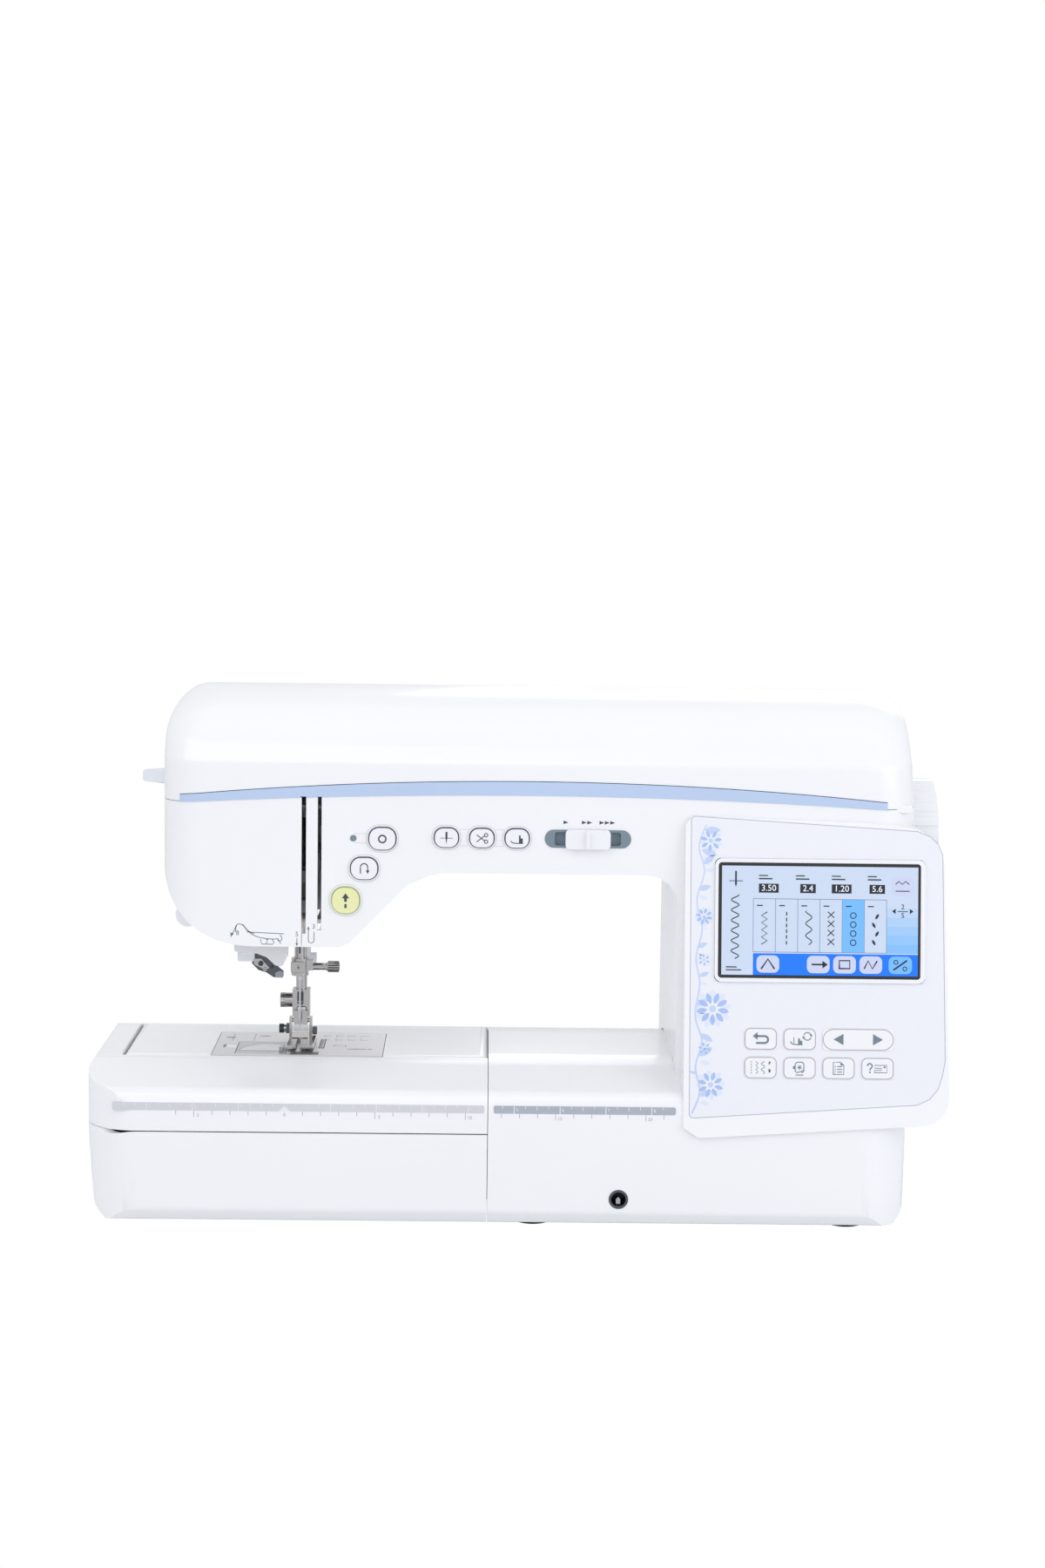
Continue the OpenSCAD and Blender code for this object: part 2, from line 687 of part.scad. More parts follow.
// The clamp and its thumb screw.
module needle_clamp() {
    color([0.72, 0.72, 0.74]) {
        rod_x(needle_x + 3.4, needle_x + 16, needle_y, clamp_z - 1, 1.5);
        rod_x(needle_x + 16, needle_x + 22.4, needle_y, clamp_z - 1, 3.1);
    }
    color([0.75, 0.75, 0.77]) difference() {
        union() {
            rod_z(needle_x, needle_y, clamp_z - 6, clamp_z + 4, 5);
            block([needle_x, needle_y - 3, clamp_z - 3], [needle_x + 7.6, needle_y + 3, clamp_z + 3]);
        }
        rod_z(needle_x, needle_y, clamp_z, clamp_z + 5, needle_bar_r);
        rod_z(needle_x, needle_y, clamp_z - 7, clamp_z + 1, 1.02);
        rod_x(needle_x + 0.5, needle_x + 9, needle_y, clamp_z - 1, 1.5);
    }
}

needle_l = 38;
needle_tip = clamp_z + 1 - needle_l;

module needle() {
    color([0.8, 0.8, 0.82]) {
        rod_z(needle_x, needle_y, clamp_z - 9, clamp_z, 1.02);
        rod_z(needle_x, needle_y, needle_tip + 5, clamp_z - 9, 0.5);
        translate([needle_x, needle_y, needle_tip]) cylinder(r1 = 0.1, r2 = 0.5, h = 5);
    }
}

holder_z = bed_z + 14;

module presser_bar() {
    color([0.82, 0.83, 0.85]) {
        rod_z(needle_x, presser_y, holder_z, under_z + 20, presser_r);
        block([needle_x - 6, presser_y - 4.4, guide_zs[1] + 8], [needle_x + 6, presser_y + 5, guide_zs[1] + 14]);
    }
}

module foot_holder() {
    color([0.78, 0.78, 0.8]) difference() {
        union() {
            block([needle_x - 5, presser_y - 5, holder_z], [needle_x + 5, presser_y + 4.6, holder_z + 16]);
            block([needle_x - 4, presser_y - 8, holder_z - 4], [needle_x + 4, presser_y + 3, holder_z + 4]);
            // Screw that holds the shank to the bar.
            rod_x(needle_x - 12, needle_x - 5, presser_y, holder_z + 9, 4.2);
        }
        rod_z(needle_x, presser_y, holder_z, holder_z + 17, presser_r);
        block([needle_x - 12.5, presser_y - 5, holder_z + 8.4], [needle_x - 10.5, presser_y + 5, holder_z + 9.6]);
        rod_x(needle_x - 5, needle_x + 5, foot_pin_y, foot_pin_z, foot_pin_r + run_gap);
        block([needle_x - 5, foot_pin_y - 3, holder_z - 5], [needle_x + 5, foot_pin_y + 1, foot_pin_z - 1]);
    }
}

foot_pin_y = presser_y - 4.4;
foot_pin_r = 1.2;
sole_z = bed_z + 1.2;
foot_pin_z = bed_z + 12;
foot_front = needle_y - 21;
foot_back = presser_y + 5;

module presser_foot() {
    color([0.83, 0.83, 0.85]) {
        difference() {
            union() {
                block([needle_x - 6, foot_front, sole_z], [needle_x + 9, foot_back, sole_z + 2]);
                for (x = [needle_x - 6.6, needle_x + 5])
                    block([x, foot_pin_y - 2.6, sole_z], [x + 1.6, foot_pin_y + 2.6, foot_pin_z + 2]);
            }
            block([needle_x - 4.5, needle_y - 1.8, bed_z], [needle_x + 4.5, needle_y + 1.8, bed_z + 4]);
            block([needle_x - 1.2, foot_front - 1, bed_z], [needle_x + 1.2, needle_y, bed_z + 4]);
        }
        rod_x(needle_x - 6.6, needle_x + 6.6, foot_pin_y, foot_pin_z, foot_pin_r);
    }
    color([0.1, 0.1, 0.1])
        rod_x(needle_x - 12, needle_x - 6.6, foot_pin_y, foot_pin_z - 5, 2.2);
}

presser_lever_z = head_z + 15;
presser_lever_y = presser_y + 36;
presser_lever_l = 40;

module presser_lever() {
    color([0.9, 0.91, 0.92]) difference() {
        union() {
            rod_x(needle_x - 6, needle_x + 6, presser_lever_y, presser_lever_z, 6);
            block([needle_x - 3, presser_lever_y - 3, presser_lever_z - presser_lever_l],
                [needle_x + 3, presser_lever_y + 3, presser_lever_z]);
            rod_x(needle_x - 6.5, needle_x + 6.5, presser_lever_y, presser_lever_z - presser_lever_l, 4);
        }
        rod_x(needle_x - 7, needle_x + 7, presser_lever_y, presser_lever_z, 2.5 + run_gap);
    }
}

module lever_opening() {
    block([needle_x - 7.5, presser_lever_y - 8, head_z - 6], [needle_x + 7.5, arm_back - 6, head_z + 4]);
}

module threader_lever() {
    color([0.85, 0.88, 0.92]) {
        along_x(arm_left - 15, arm_left - 1)
            round_rect(lever_y - 4.5, lever_top - 8.5, lever_y + 4.5, lever_top, 2);
        difference() {
            union() {
                block([arm_left - 1 - eps, lever_y - stem_w / 2, lever_top - 7],
                    [rail_x, lever_y + stem_w / 2, lever_top - 2]);
                block([rail_x - 4, lever_y - 4, lever_top - 16], [rail_x + 4, lever_y + 4, lever_top - 2]);
            }
            rod_z(rail_x, lever_y, lever_top - 17, lever_top - 1, rail_r + run_gap);
        }
    }
}

module threader_head() {
    color([0.72, 0.73, 0.75]) {
        rod_z(threader_x, threader_y, head_z - 12, under_z + 8, threader_r);
        block([threader_x - 8, threader_y - 4, head_z - 22], [threader_x + 8, threader_y + 4, head_z - 11]);
        block([threader_x + 6, threader_y - 3, head_z - 24], [threader_x + 18, threader_y, head_z - 19]);
        block([threader_x + 14, threader_y - 1, head_z - 25], [threader_x + 18, threader_y + 2, head_z - 19]);
    }
}

cutter_z = head_z + 14;

module thread_cutter() {
    color([0.93, 0.95, 0.97]) difference() {
        rod_y(arm_left + 13, lever_y - 24, lever_y - 10, cutter_z, 7);
        arm_form(0);
        block([arm_left - 2, lever_y - 18, cutter_z - 3], [arm_left + 12, lever_y - 16.8, cutter_z + 8]);
    }
}

module work_lamp() {
    color([0.98, 0.98, 0.9])
        block([-113, needle_y - 26, head_z + 1], [-106, presser_y + 12, head_z + 4.5]);
}

module belt(x, y0, z0, r0, y1, z1, r1, w) {
    along_x(x - w / 2, x + w / 2) difference() {
        hull() {
            translate([y0, z0]) circle(r0 + 1.8);
            translate([y1, z1]) circle(r1 + 1.8);
        }
        hull() {
            translate([y0, z0]) circle(r0 + 0.3);
            translate([y1, z1]) circle(r1 + 0.3);
        }
    }
}

motor_r = 24;
motor_pulley_r = 6;

module drive_belts() {
    color([0.1, 0.1, 0.11]) {
        belt(belt_x, shaft_y, shaft_z, pulley_r, lower_y, lower_z, pulley_r, 9);
        belt(belt_x + 22, shaft_y, shaft_z, drive_pulley_r, motor_y, motor_z, motor_pulley_r, 6);
    }
}

module main_motor() {
    color([0.3, 0.31, 0.33]) {
        rod_x(belt_x + 32, belt_x + 82, motor_y, motor_z, motor_r);
        rod_x(belt_x + 29, belt_x + 32, motor_y, motor_z, 9);
        block([belt_x + 34, presser_y + 22, motor_z - 16], [belt_x + 70, motor_y, motor_z + 16]);
    }
}

module motor_pulley() {
    color([0.7, 0.71, 0.74]) {
        pulley(belt_x + 22, motor_y, motor_z, motor_pulley_r, 8);
        rod_x(belt_x + 27, belt_x + 29, motor_y, motor_z, 2.5);
    }
}

board_x0 = panel_left + 3;
board_y = arm_front + 15;
board_z0 = bed_z + 1.5;
board_z1 = under_z + 4;
board_t = 1.6;

module circuit_board() {
    color([0.12, 0.42, 0.25]) {
        block([board_x0, board_y, board_z0], [arm_right - 11, board_y + board_t, board_z1]);
        for (i = [0:3])
            block([board_x0 + 8 + 24 * i, board_y + board_t, board_z0 + 14],
                [board_x0 + 22 + 24 * i, board_y + board_t + 6.4, board_z0 + 26]);
        // Posts on the cover, beside and under the panel's window.
        for (p = [[board_x0 + 4, board_z0 + 8], [board_x0 + 4, board_z1 - 4],
                [arm_right - lid_corner - 4, board_z0 + 3]])
            block([p[0] - 2.5, arm_front + wall, p[1] - 2.5], [p[0] + 2.5, board_y, p[1] + 2.5]);
    }
}

module inlet_panel() {
    color([0.12, 0.12, 0.13]) {
        rod_y(switch_x, inlet_y0 + 3.5, inlet_y0 + 20.5, switch_z, switch_pin_r);
        difference() {
            block([inlet_x0, inlet_y0, inlet_z0], [base_right - 1, inlet_y1, inlet_z1]);
            // Switch well, mains inlet and foot control jack.
            block([base_right - 9, inlet_y0 + 4, inlet_z0 + 12], [base_right, inlet_y0 + 20, inlet_z1 - 6]);
            block([base_right - 10, inlet_y0 + 26, inlet_z0 + 8], [base_right, inlet_y0 + 44, inlet_z0 + 20]);
            rod_x(base_right - 11, base_right, inlet_y1 - 8, inlet_z1 - 12, jack_r);
        }
    }
}

switch_x = base_right - 4;
switch_pin_r = 1.2;
switch_y = inlet_y0 + 12;
switch_z = (inlet_z0 + inlet_z1 + 6) / 2;

module power_switch() {
    color([0.2, 0.2, 0.21]) difference() {
        block([switch_x - 3, switch_y - 6, switch_z - 7], [switch_x + 3, switch_y + 6, switch_z + 7]);
        rod_y(switch_x, switch_y - 7, switch_y + 7, switch_z, switch_pin_r + run_gap);
    }
}

// Front outline of the lid, d inside the skin.
function lid_face(d) = concat(
    [[arm_left + d, seam_z + gap]],
    bend(arm_left + 20, lid_z - 28, 20 - d, 28 - d, 180, 90, 8),
    bend(arm_right - 17, lid_z - 19, 14 - d, 19 - d, 90, 10, 6),
    [[arm_right - d, seam_z + gap]]
);

crest_y = -26;

// Side outline of the lid, d inside the skin.
function lid_side(d) = concat(
    [[arm_front + d, seam_z - 1], [arm_front + d, lid_z - 43]],
    bend(crest_y, lid_z - 44, crest_y - arm_front - 1 - d, 44 - d, 170, 90, 10),
    bend(crest_y, lid_z - 44, arm_back - crest_y - d, 44 - d, 81, 0, 9),
    [[arm_back - d, seam_z - 1]]
);

module lid_form(d) {
    intersection() {
        along_y(arm_front - 1, arm_back + 1) polygon(lid_face(d));
        along_x(arm_left - 1, arm_right + 1) polygon(lid_side(d));
        along_z(seam_z + (d > 0 ? 0 : gap), lid_z + 1) arm_plan(d);
    }
}

module top_lid() {
    color([0.96, 0.97, 0.98]) difference() {
        lid_form(0);
        lid_form(wall);
        // Front edge, bowed over the accent strip.
        along_y(arm_front - 2, arm_front + lid_corner + 6)
            polygon(concat([for (x = strip_xs) [x, strip_high(x) + gap]],
                [[strip_mid + strip_half, seam_z - 2], [strip_mid - strip_half, seam_z - 2]]));
        block([arm_left - 1, lever_y - 5.5, seam_z - 1], [arm_left + 14, lever_y + 5.5, lever_top + 3]);
        for (x = lid_hinge_xs)
            rod_x(x - 6 - 2 * gap, x + barrel_l + 6 + 2 * gap, arm_back, seam_z, barrel_r + gap);
    }
    color([0.96, 0.97, 0.98]) for (x = lid_hinge_xs) difference() {
        union() {
            rod_x(x, x + barrel_l, arm_back, seam_z, barrel_r);
            block([x, arm_back - wall / 2, seam_z + 0.8], [x + barrel_l, arm_back, seam_z + barrel_r + 1]);
        }
        rod_x(x - 1, x + barrel_l + 1, arm_back, seam_z, pin_r + run_gap);
    }
}

module accent_strip() {
    color([0.77, 0.83, 0.93]) intersection() {
        along_y(arm_front - 2, arm_front + lid_corner)
            polygon(concat([for (x = strip_xs) [x, strip_high(x)]],
                [for (i = [20:-1:0]) [strip_xs[i], strip_low(strip_xs[i])]]));
        difference() {
            along_z(seam_z, seam_z + 30) arm_plan(-0.6);
            along_z(seam_z - 1, seam_z + 31) arm_plan(wall);
            block([slot_left - 1, arm_front - 3, seam_z - 1], [slot_left + slot_w, arm_front + 12, seam_z + 4]);
            block([slot_right, arm_front - 3, seam_z - 1], [slot_right + slot_w, arm_front + 12, seam_z + 4]);
        }
    }
}

spool_l = 56;

module spool_pin() {
    color([0.93, 0.94, 0.95]) {
        rod_z(spool_x, spool_y, deck_z - 6, deck_z, 3);
        rod_z(spool_x, spool_y, deck_z, deck_z + 5, 9);
        rod_x(spool_x - spool_l, spool_x, spool_y, deck_z + 12, 3);
        rod_z(spool_x, spool_y, deck_z + 5, deck_z + 16, 5);
    }
}

module spool_cap() {
    color([0.9, 0.91, 0.93]) difference() {
        union() {
            rod_x(spool_x - spool_l + 4, spool_x - spool_l + 7, spool_y, deck_z + 12, 11.5);
            rod_x(spool_x - spool_l - 4, spool_x - spool_l + 4, spool_y, deck_z + 12, 6);
        }
        rod_x(spool_x - spool_l - 5, spool_x - spool_l + 8, spool_y, deck_z + 12, 3 + gap);
    }
}

module bobbin_winder() {
    color([0.93, 0.94, 0.95]) {
        rod_z(winder_x, winder_y, deck_z - 8, deck_z + 1, 4.5);
        rod_z(winder_x, winder_y, deck_z + 1, deck_z + 4, 11);
        rod_z(winder_x, winder_y, deck_z + 4, deck_z + 14, 2.9);
    }
}

module carrying_handle() {
    y = arm_back + 5.4;
    color([0.93, 0.94, 0.95]) {
        for (x = handle_xs) difference() {
            union() {
                rod_x(x - 1.6, x + 1.6, y, handle_z, 4.6);
                block([x - 1.6, y - 4, handle_z - handle_l], [x + 1.6, y + 4, handle_z]);
            }
            rod_x(x - 2, x + 2, y, handle_z, 2 + run_gap);
        }
        along_x(handle_xs[0] - 8, handle_xs[1] + 8)
            round_rect(y - 4.6, handle_z - handle_l - 6, y + 4.6, handle_z - handle_l, 2.5);
    }
}

// Operation buttons: [x, z, width, height].
button_set = [[-96.2, 180.2, 15, 14.2], [-86, 198.2, 14.5, 11.7], [-76, 215, 14.4, 11.9],
    [-40.4, 216, 12.8, 10.3], [-20.7, 216, 12.9, 10.1], [-1.1, 216, 12.8, 10.1]];
slider_x = 38.3;
slider_z = 216;
knob_w = 25;
slider_travel = 10;
slider_w = 2 * (slider_travel + 8) + 10;
button_seat = button_travel + 1.2;
flange_t = 1.6;

module button_plan(i, grow) {
    b = button_set[i];
    round_rect(b[0] - b[2] / 2 - grow, b[1] - b[3] / 2 - grow, b[0] + b[2] / 2 + grow,
        b[1] + b[3] / 2 + grow, b[3] * button_round + grow);
}

module button_holes() {
    for (i = [0:5]) along_y(arm_front - 1, arm_front + wall + 1) button_plan(i, key_gap);
    along_y(arm_front - 1, arm_front + wall + 1)
        round_rect(slider_x - slider_w / 2, slider_z - 4, slider_x + slider_w / 2, slider_z + 4, 2);
}

// A button stands proud of the front and has a flange behind it.
module button(i) {
    b = button_set[i];
    along_y(arm_front - button_seat, arm_front + wall + flange_t) button_plan(i, 0);
    along_y(arm_front + wall + 0.1, arm_front + wall + flange_t) button_plan(i, 1.5);
}

module start_key() { color([0.9, 0.9, 0.65]) button(0); }
module reverse_key() { color([0.95, 0.96, 0.97]) button(1); }
module tack_key() { color([0.95, 0.96, 0.97]) button(2); }
module needle_key() { color([0.95, 0.96, 0.97]) button(3); }
module cutter_key() { color([0.95, 0.96, 0.97]) button(4); }
module foot_key() { color([0.95, 0.96, 0.97]) button(5); }

module speed_slider() {
    color([0.95, 0.96, 0.97]) {
        along_y(arm_front - 4, arm_front - gap)
            round_rect(slider_x - knob_w / 2, slider_z - 5.4, slider_x + knob_w / 2, slider_z + 5.4, 2.4);
        along_y(arm_front - gap - eps, arm_front + wall + 3)
            round_rect(slider_x - 8, slider_z - 3.4, slider_x + 8, slider_z + 3.4, 1.5);
        block([slider_x - 1, arm_front - 6, slider_z - 5], [slider_x + 1, arm_front - 3, slider_z + 5]);
    }
}

module panel_window() {
    block([panel_left + 12, arm_front - 1, panel_bottom + 40],
        [arm_right - 14, arm_front + wall + 1, panel_top - 12]);
}

// The control panel leans back: x as outside, y into the machine, z up along its face.
module on_panel() {
    translate([0, -panel_out, panel_bottom]) rotate([-key_plane, 0, 0]) children();
}

panel_face = concat(
    [[panel_left + 1.5, panel_top - 5], [panel_left + 5, panel_top], [panel_right - 46, panel_top - 3]],
    bend(panel_right - 25, panel_top - 29, 22, 23.5, 80, 0, 8),
    bend(panel_right - 16, panel_bottom + 22, 16, 16, 0, -85, 8),
    [[panel_left + 10, panel_bottom - 1.5], [panel_left + 1.5, panel_bottom + 4]]
);
panel_wrap_y = -68;
panel_lean = tan(key_plane);
lcd_x0 = 109;
lcd_x1 = 226;
lcd_z0 = 85;
lcd_z1 = 153.5;
key_x = 135;
key_pitch = 21.65;
row_zs = [53.7, 37.8];

// Outline of a panel key, cols keys wide, in column col of row row.
module key_plan(col, row, cols, grow) {
    x = key_x + key_pitch * col;
    round_rect(x - key_w / 2 - grow, row_zs[row] - key_h / 2 - grow,
        x + key_pitch * (cols - 1) + key_w / 2 + grow, row_zs[row] + key_h / 2 + grow, 2.6 + grow);
}

key_set = [[0, 0, 1], [1, 0, 1], [2, 0, 2], [0, 1, 1], [1, 1, 1], [2, 1, 1], [3, 1, 1]];

module control_panel() {
    color([0.96, 0.97, 0.98]) difference() {
        intersection() {
            along_y(-panel_out - 2, panel_wrap_y) polygon(panel_face);
            along_x(panel_left, panel_right + 1) polygon([
                [-panel_out - 5 * panel_lean, panel_bottom - 5],
                [-panel_out + (panel_top + 2 - panel_bottom) * panel_lean, panel_top + 2],
                [panel_wrap_y - 6, panel_top + 2], [panel_wrap_y, panel_top - 20],
                [panel_wrap_y, panel_bottom + 14], [panel_wrap_y - 8, panel_bottom - 5]
            ]);
        }
        arm_form(0);
        bed_form(0);
        on_panel() along_y(-1, 4) round_rect(lcd_x0 - gap, lcd_z0 - gap, lcd_x1 + gap, lcd_z1 + gap, 4 + gap);
        for (k = key_set) on_panel()
            along_y(-3, key_t + key_travel + 1.4) key_plan(k[0], k[1], k[2], key_gap);
    }
}

module display() {
    color([0.93, 0.95, 0.97]) on_panel() difference() {
        along_y(-1.4, 4 - eps) round_rect(lcd_x0, lcd_z0, lcd_x1, lcd_z1, 4);
        along_y(-3, -0.4) round_rect(lcd_x0 + 1.8, lcd_z0 + 2.2, lcd_x1 - 2.6, lcd_z1 - 2.2, 2);
    }
}

module panel_key(i) {
    k = key_set[i];
    color([0.94, 0.95, 0.97]) on_panel() along_y(-0.6, key_t) key_plan(k[0], k[1], k[2], 0);
}

module back_key() { panel_key(0); }
module width_key() { panel_key(1); }
module page_rocker() { panel_key(2); }
module stitch_key() { panel_key(3); }
module hoop_key() { panel_key(4); }
module list_key() { panel_key(5); }
module help_key() { panel_key(6); }

module flat_bed() {
    x1 = seam_x - gap;
    color([0.96, 0.97, 0.98]) difference() {
        bed_form(0);
        block([x1, -bed_front - 2, 0], [base_right + 1, bed_back + 1, bed_z + 2]);
        block([free_left - gap, free_front - gap, 0], [x1 + 1, free_back + gap, bed_z + 2]);
        // Accessory compartment in the front leg, open where its door closes.
        intersection() {
            bed_form(wall);
            block([-bed_left, -bed_front, 0], [x1 - wall, door_y + 0.3, bed_z + 2]);
        }
        block([-bed_left - 1, -bed_front - 2, door_z - gap], [x1 + 1, door_y + 0.3, bed_z + 2]);
        // Rear leg, open underneath.
        intersection() {
            bed_form(wall);
            block([-bed_left, free_back + gap + wall, 0], [x1 - wall, bed_back, bed_z + 2]);
        }
        block([-bed_left + 30, free_back + gap + wall, 0], [x1 - wall, bed_back - 14, ground + wall + 1]);
        rod_x(-bed_left - 1, x1 + 1, door_axis_y, door_axis_z, door_edge_r + gap);
    }
    // Hinge brackets and pins of the door.
    color([0.96, 0.97, 0.98]) for (x = door_hinge_xs) {
        for (e = [x, x + barrel_l]) {
            block([e, -bed_front + wall - eps, door_z - 14], [e + 3, bracket_y + 2.5, door_z - 3]);
            block([e, bracket_y, door_z - 4], [e + 3, bracket_y + 2.5, door_axis_z + pin_r + 0.6]);
            block([e, door_axis_y, door_axis_z - pin_r], [e + 3, bracket_y + eps, door_axis_z + pin_r + 0.6]);
        }
        rod_x(x, x + barrel_l + 3, door_axis_y, door_axis_z, pin_r);
    }
}

bracket_y = door_axis_y + door_edge_r + 0.5;

module accessory_door() {
    x1 = seam_x - gap;
    color([0.96, 0.97, 0.98]) intersection() {
        difference() {
            bed_form(0);
            bed_form(wall);
        }
        difference() {
            block([-bed_left - 1, -bed_front - 2, door_z], [x1, door_y, bed_z + 2]);
            // Lower edge, rounded about the hinge.
            difference() {
                block([-bed_left - 2, -bed_front - 3, door_z - 1], [x1 + 1, door_axis_y, door_axis_z]);
                rod_x(-bed_left - 3, x1 + 2, door_axis_y, door_axis_z, door_edge_r);
            }
        }
    }
    color([0.96, 0.97, 0.98]) for (x = door_hinge_xs) difference() {
        union() {
            rod_x(x + 3 + gap, x + barrel_l - gap, door_axis_y, door_axis_z, 2.6);
            block([x + 3 + gap, -bed_front + 1, door_axis_z - 1.6],
                [x + barrel_l - gap, door_axis_y, door_axis_z + 2.6]);
        }
        rod_x(x, x + barrel_l, door_axis_y, door_axis_z, pin_r + run_gap);
    }
}

front_cover();
rear_cover();
face_cover();
base_cover();
bottom_plate();
rubber_feet();
free_arm_cover();
needle_plate();
bobbin_cover();
cover_latch();
bobbin();
bobbin_case();
rotary_hook();
feed_dogs();
lower_shaft();
machine_frame();
upper_shaft();
handwheel();
take_up_lever();
needle_bar();
needle_clamp();
needle();
presser_bar();
foot_holder();
presser_foot();
presser_lever();
threader_lever();
threader_head();
thread_cutter();
drive_belts();
main_motor();
motor_pulley();
circuit_board();
inlet_panel();
power_switch();
work_lamp();
top_lid();
accent_strip();
spool_pin();
spool_cap();
bobbin_winder();
carrying_handle();
start_key();
reverse_key();
tack_key();
needle_key();
cutter_key();
foot_key();
speed_slider();
control_panel();
display();
back_key();
width_key();
page_rocker();
stitch_key();
hoop_key();
list_key();
help_key();
flat_bed();
accessory_door();
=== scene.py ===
"""The looks of the sewing machine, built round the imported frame. Metres, +X right, +Y back, +Z up."""
import math

import bmesh
import bpy
from mathutils import Matrix, Vector
from mathutils.geometry import tessellate_polygon


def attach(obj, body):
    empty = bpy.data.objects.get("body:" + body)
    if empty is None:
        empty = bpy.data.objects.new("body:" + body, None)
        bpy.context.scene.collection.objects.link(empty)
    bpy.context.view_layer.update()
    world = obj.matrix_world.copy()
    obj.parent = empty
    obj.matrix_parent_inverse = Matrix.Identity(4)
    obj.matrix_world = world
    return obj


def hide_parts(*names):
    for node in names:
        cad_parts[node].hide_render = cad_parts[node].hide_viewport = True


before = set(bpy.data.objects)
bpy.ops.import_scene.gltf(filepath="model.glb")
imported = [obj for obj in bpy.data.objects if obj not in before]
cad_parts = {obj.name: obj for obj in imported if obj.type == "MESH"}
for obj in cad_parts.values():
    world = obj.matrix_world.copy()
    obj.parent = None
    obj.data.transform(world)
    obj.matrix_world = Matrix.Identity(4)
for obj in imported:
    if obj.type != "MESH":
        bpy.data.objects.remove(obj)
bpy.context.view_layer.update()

MM = 0.001
IMAGE_H = 1800
SENSOR_MM = 36
SHARP_DEGREES = 32
MERGE_DISTANCE = 1e-6

# Camera: place in mm, focal length in image pixels, turn in degrees.
CAMERA_AT = (-20.3, -1618.8, 412.8)
FOCAL_PX = 3166.8
PITCH, YAW, ROLL = 6.24, 0.82, 0.755


def add_camera():
    pitch, yaw, roll = (math.radians(a) for a in (PITCH, YAW, ROLL))
    ahead = Vector((math.sin(yaw) * math.cos(pitch), math.cos(yaw) * math.cos(pitch), -math.sin(pitch)))
    right = ahead.cross(Vector((0, 0, 1))).normalized()
    up = right.cross(ahead)
    right, up = (math.cos(roll) * right + math.sin(roll) * up, -math.sin(roll) * right + math.cos(roll) * up)
    camera = bpy.data.objects.new("camera", bpy.data.cameras.new("camera"))
    bpy.context.scene.collection.objects.link(camera)
    turn = Matrix((right, up, -ahead)).transposed().to_4x4()
    camera.matrix_world = Matrix.Translation(Vector(CAMERA_AT) * MM) @ turn
    camera.data.sensor_width = SENSOR_MM
    camera.data.lens = FOCAL_PX / IMAGE_H * SENSOR_MM
    camera.data.clip_start = 0.05
    bpy.context.scene.camera = camera


add_camera()
bpy.context.scene.view_settings.view_transform = "Standard"


# ---------------------------------------------------------------- materials

def srgb(*levels):
    """Linear colour of an sRGB triple in 0 to 255."""
    shares = [level / 255 for level in levels]
    return tuple(c / 12.92 if c <= 0.04045 else ((c + 0.055) / 1.055) ** 2.4 for c in shares)


def finish_of(name, color, rough=0.35, metal=0.0, coat=0.0, bump=0.0, grain=900.0, shade=0.04,
              glow=0.0, rough_spread=0.06, see=0.0, edge_glint=0.0):
    """A procedural finish: colour drifts by shade, roughness by rough_spread.

    The bump gives the moulded grain.
    """
    mat = bpy.data.materials.new(name)
    mat.use_nodes = True
    nodes, links = mat.node_tree.nodes, mat.node_tree.links
    shader = nodes["Principled BSDF"]
    shader.inputs["Metallic"].default_value = metal
    shader.inputs["Coat Weight"].default_value = coat
    shader.inputs["Coat Roughness"].default_value = 0.06
    place = nodes.new("ShaderNodeTexCoord")
    drift = nodes.new("ShaderNodeTexNoise")
    drift.inputs["Scale"].default_value = 14
    drift.inputs["Detail"].default_value = 5
    links.new(place.outputs["Object"], drift.inputs["Vector"])
    mix = nodes.new("ShaderNodeMix")
    mix.data_type = "RGBA"
    low = [c * (1 - shade) for c in color]
    high = [min(1, c * (1 + shade)) for c in color]
    mix.inputs[6].default_value = (*low, 1)
    mix.inputs[7].default_value = (*high, 1)
    links.new(drift.outputs["Fac"], mix.inputs[0])
    tint = mix.outputs[2]
    # Convex edges (high pointiness) are made lighter: a painted highlight along the edges.
    if edge_glint:
        edge = nodes.new("ShaderNodeNewGeometry")
        ramp = nodes.new("ShaderNodeMapRange")
        ramp.inputs["From Min"].default_value = 0.5
        ramp.inputs["From Max"].default_value = 0.62
        links.new(edge.outputs["Pointiness"], ramp.inputs["Value"])
        glinted = nodes.new("ShaderNodeMix")
        glinted.data_type = "RGBA"
        links.new(ramp.outputs["Result"], glinted.inputs[0])
        links.new(tint, glinted.inputs[6])
        glinted.inputs[7].default_value = (*[min(1, c * (1 + edge_glint)) for c in color], 1)
        tint = glinted.outputs[2]
    links.new(tint, shader.inputs["Base Color"])
    fine = nodes.new("ShaderNodeTexNoise")
    fine.inputs["Scale"].default_value = grain
    fine.inputs["Detail"].default_value = 3
    links.new(place.outputs["Object"], fine.inputs["Vector"])
    gloss = nodes.new("ShaderNodeMapRange")
    gloss.inputs["To Min"].default_value = max(0.02, rough - rough_spread)
    gloss.inputs["To Max"].default_value = min(1, rough + rough_spread)
    links.new(drift.outputs["Fac"], gloss.inputs["Value"])
    links.new(gloss.outputs["Result"], shader.inputs["Roughness"])
    if bump:
        relief = nodes.new("ShaderNodeBump")
        relief.inputs["Strength"].default_value = bump
        relief.inputs["Distance"].default_value = 0.0002
        links.new(fine.outputs["Fac"], relief.inputs["Height"])
        links.new(relief.outputs["Normal"], shader.inputs["Normal"])
    if glow:
        links.new(tint, shader.inputs["Emission Color"])
        shader.inputs["Emission Strength"].default_value = glow
    if see:
        shader.inputs["Transmission Weight"].default_value = see
    return mat


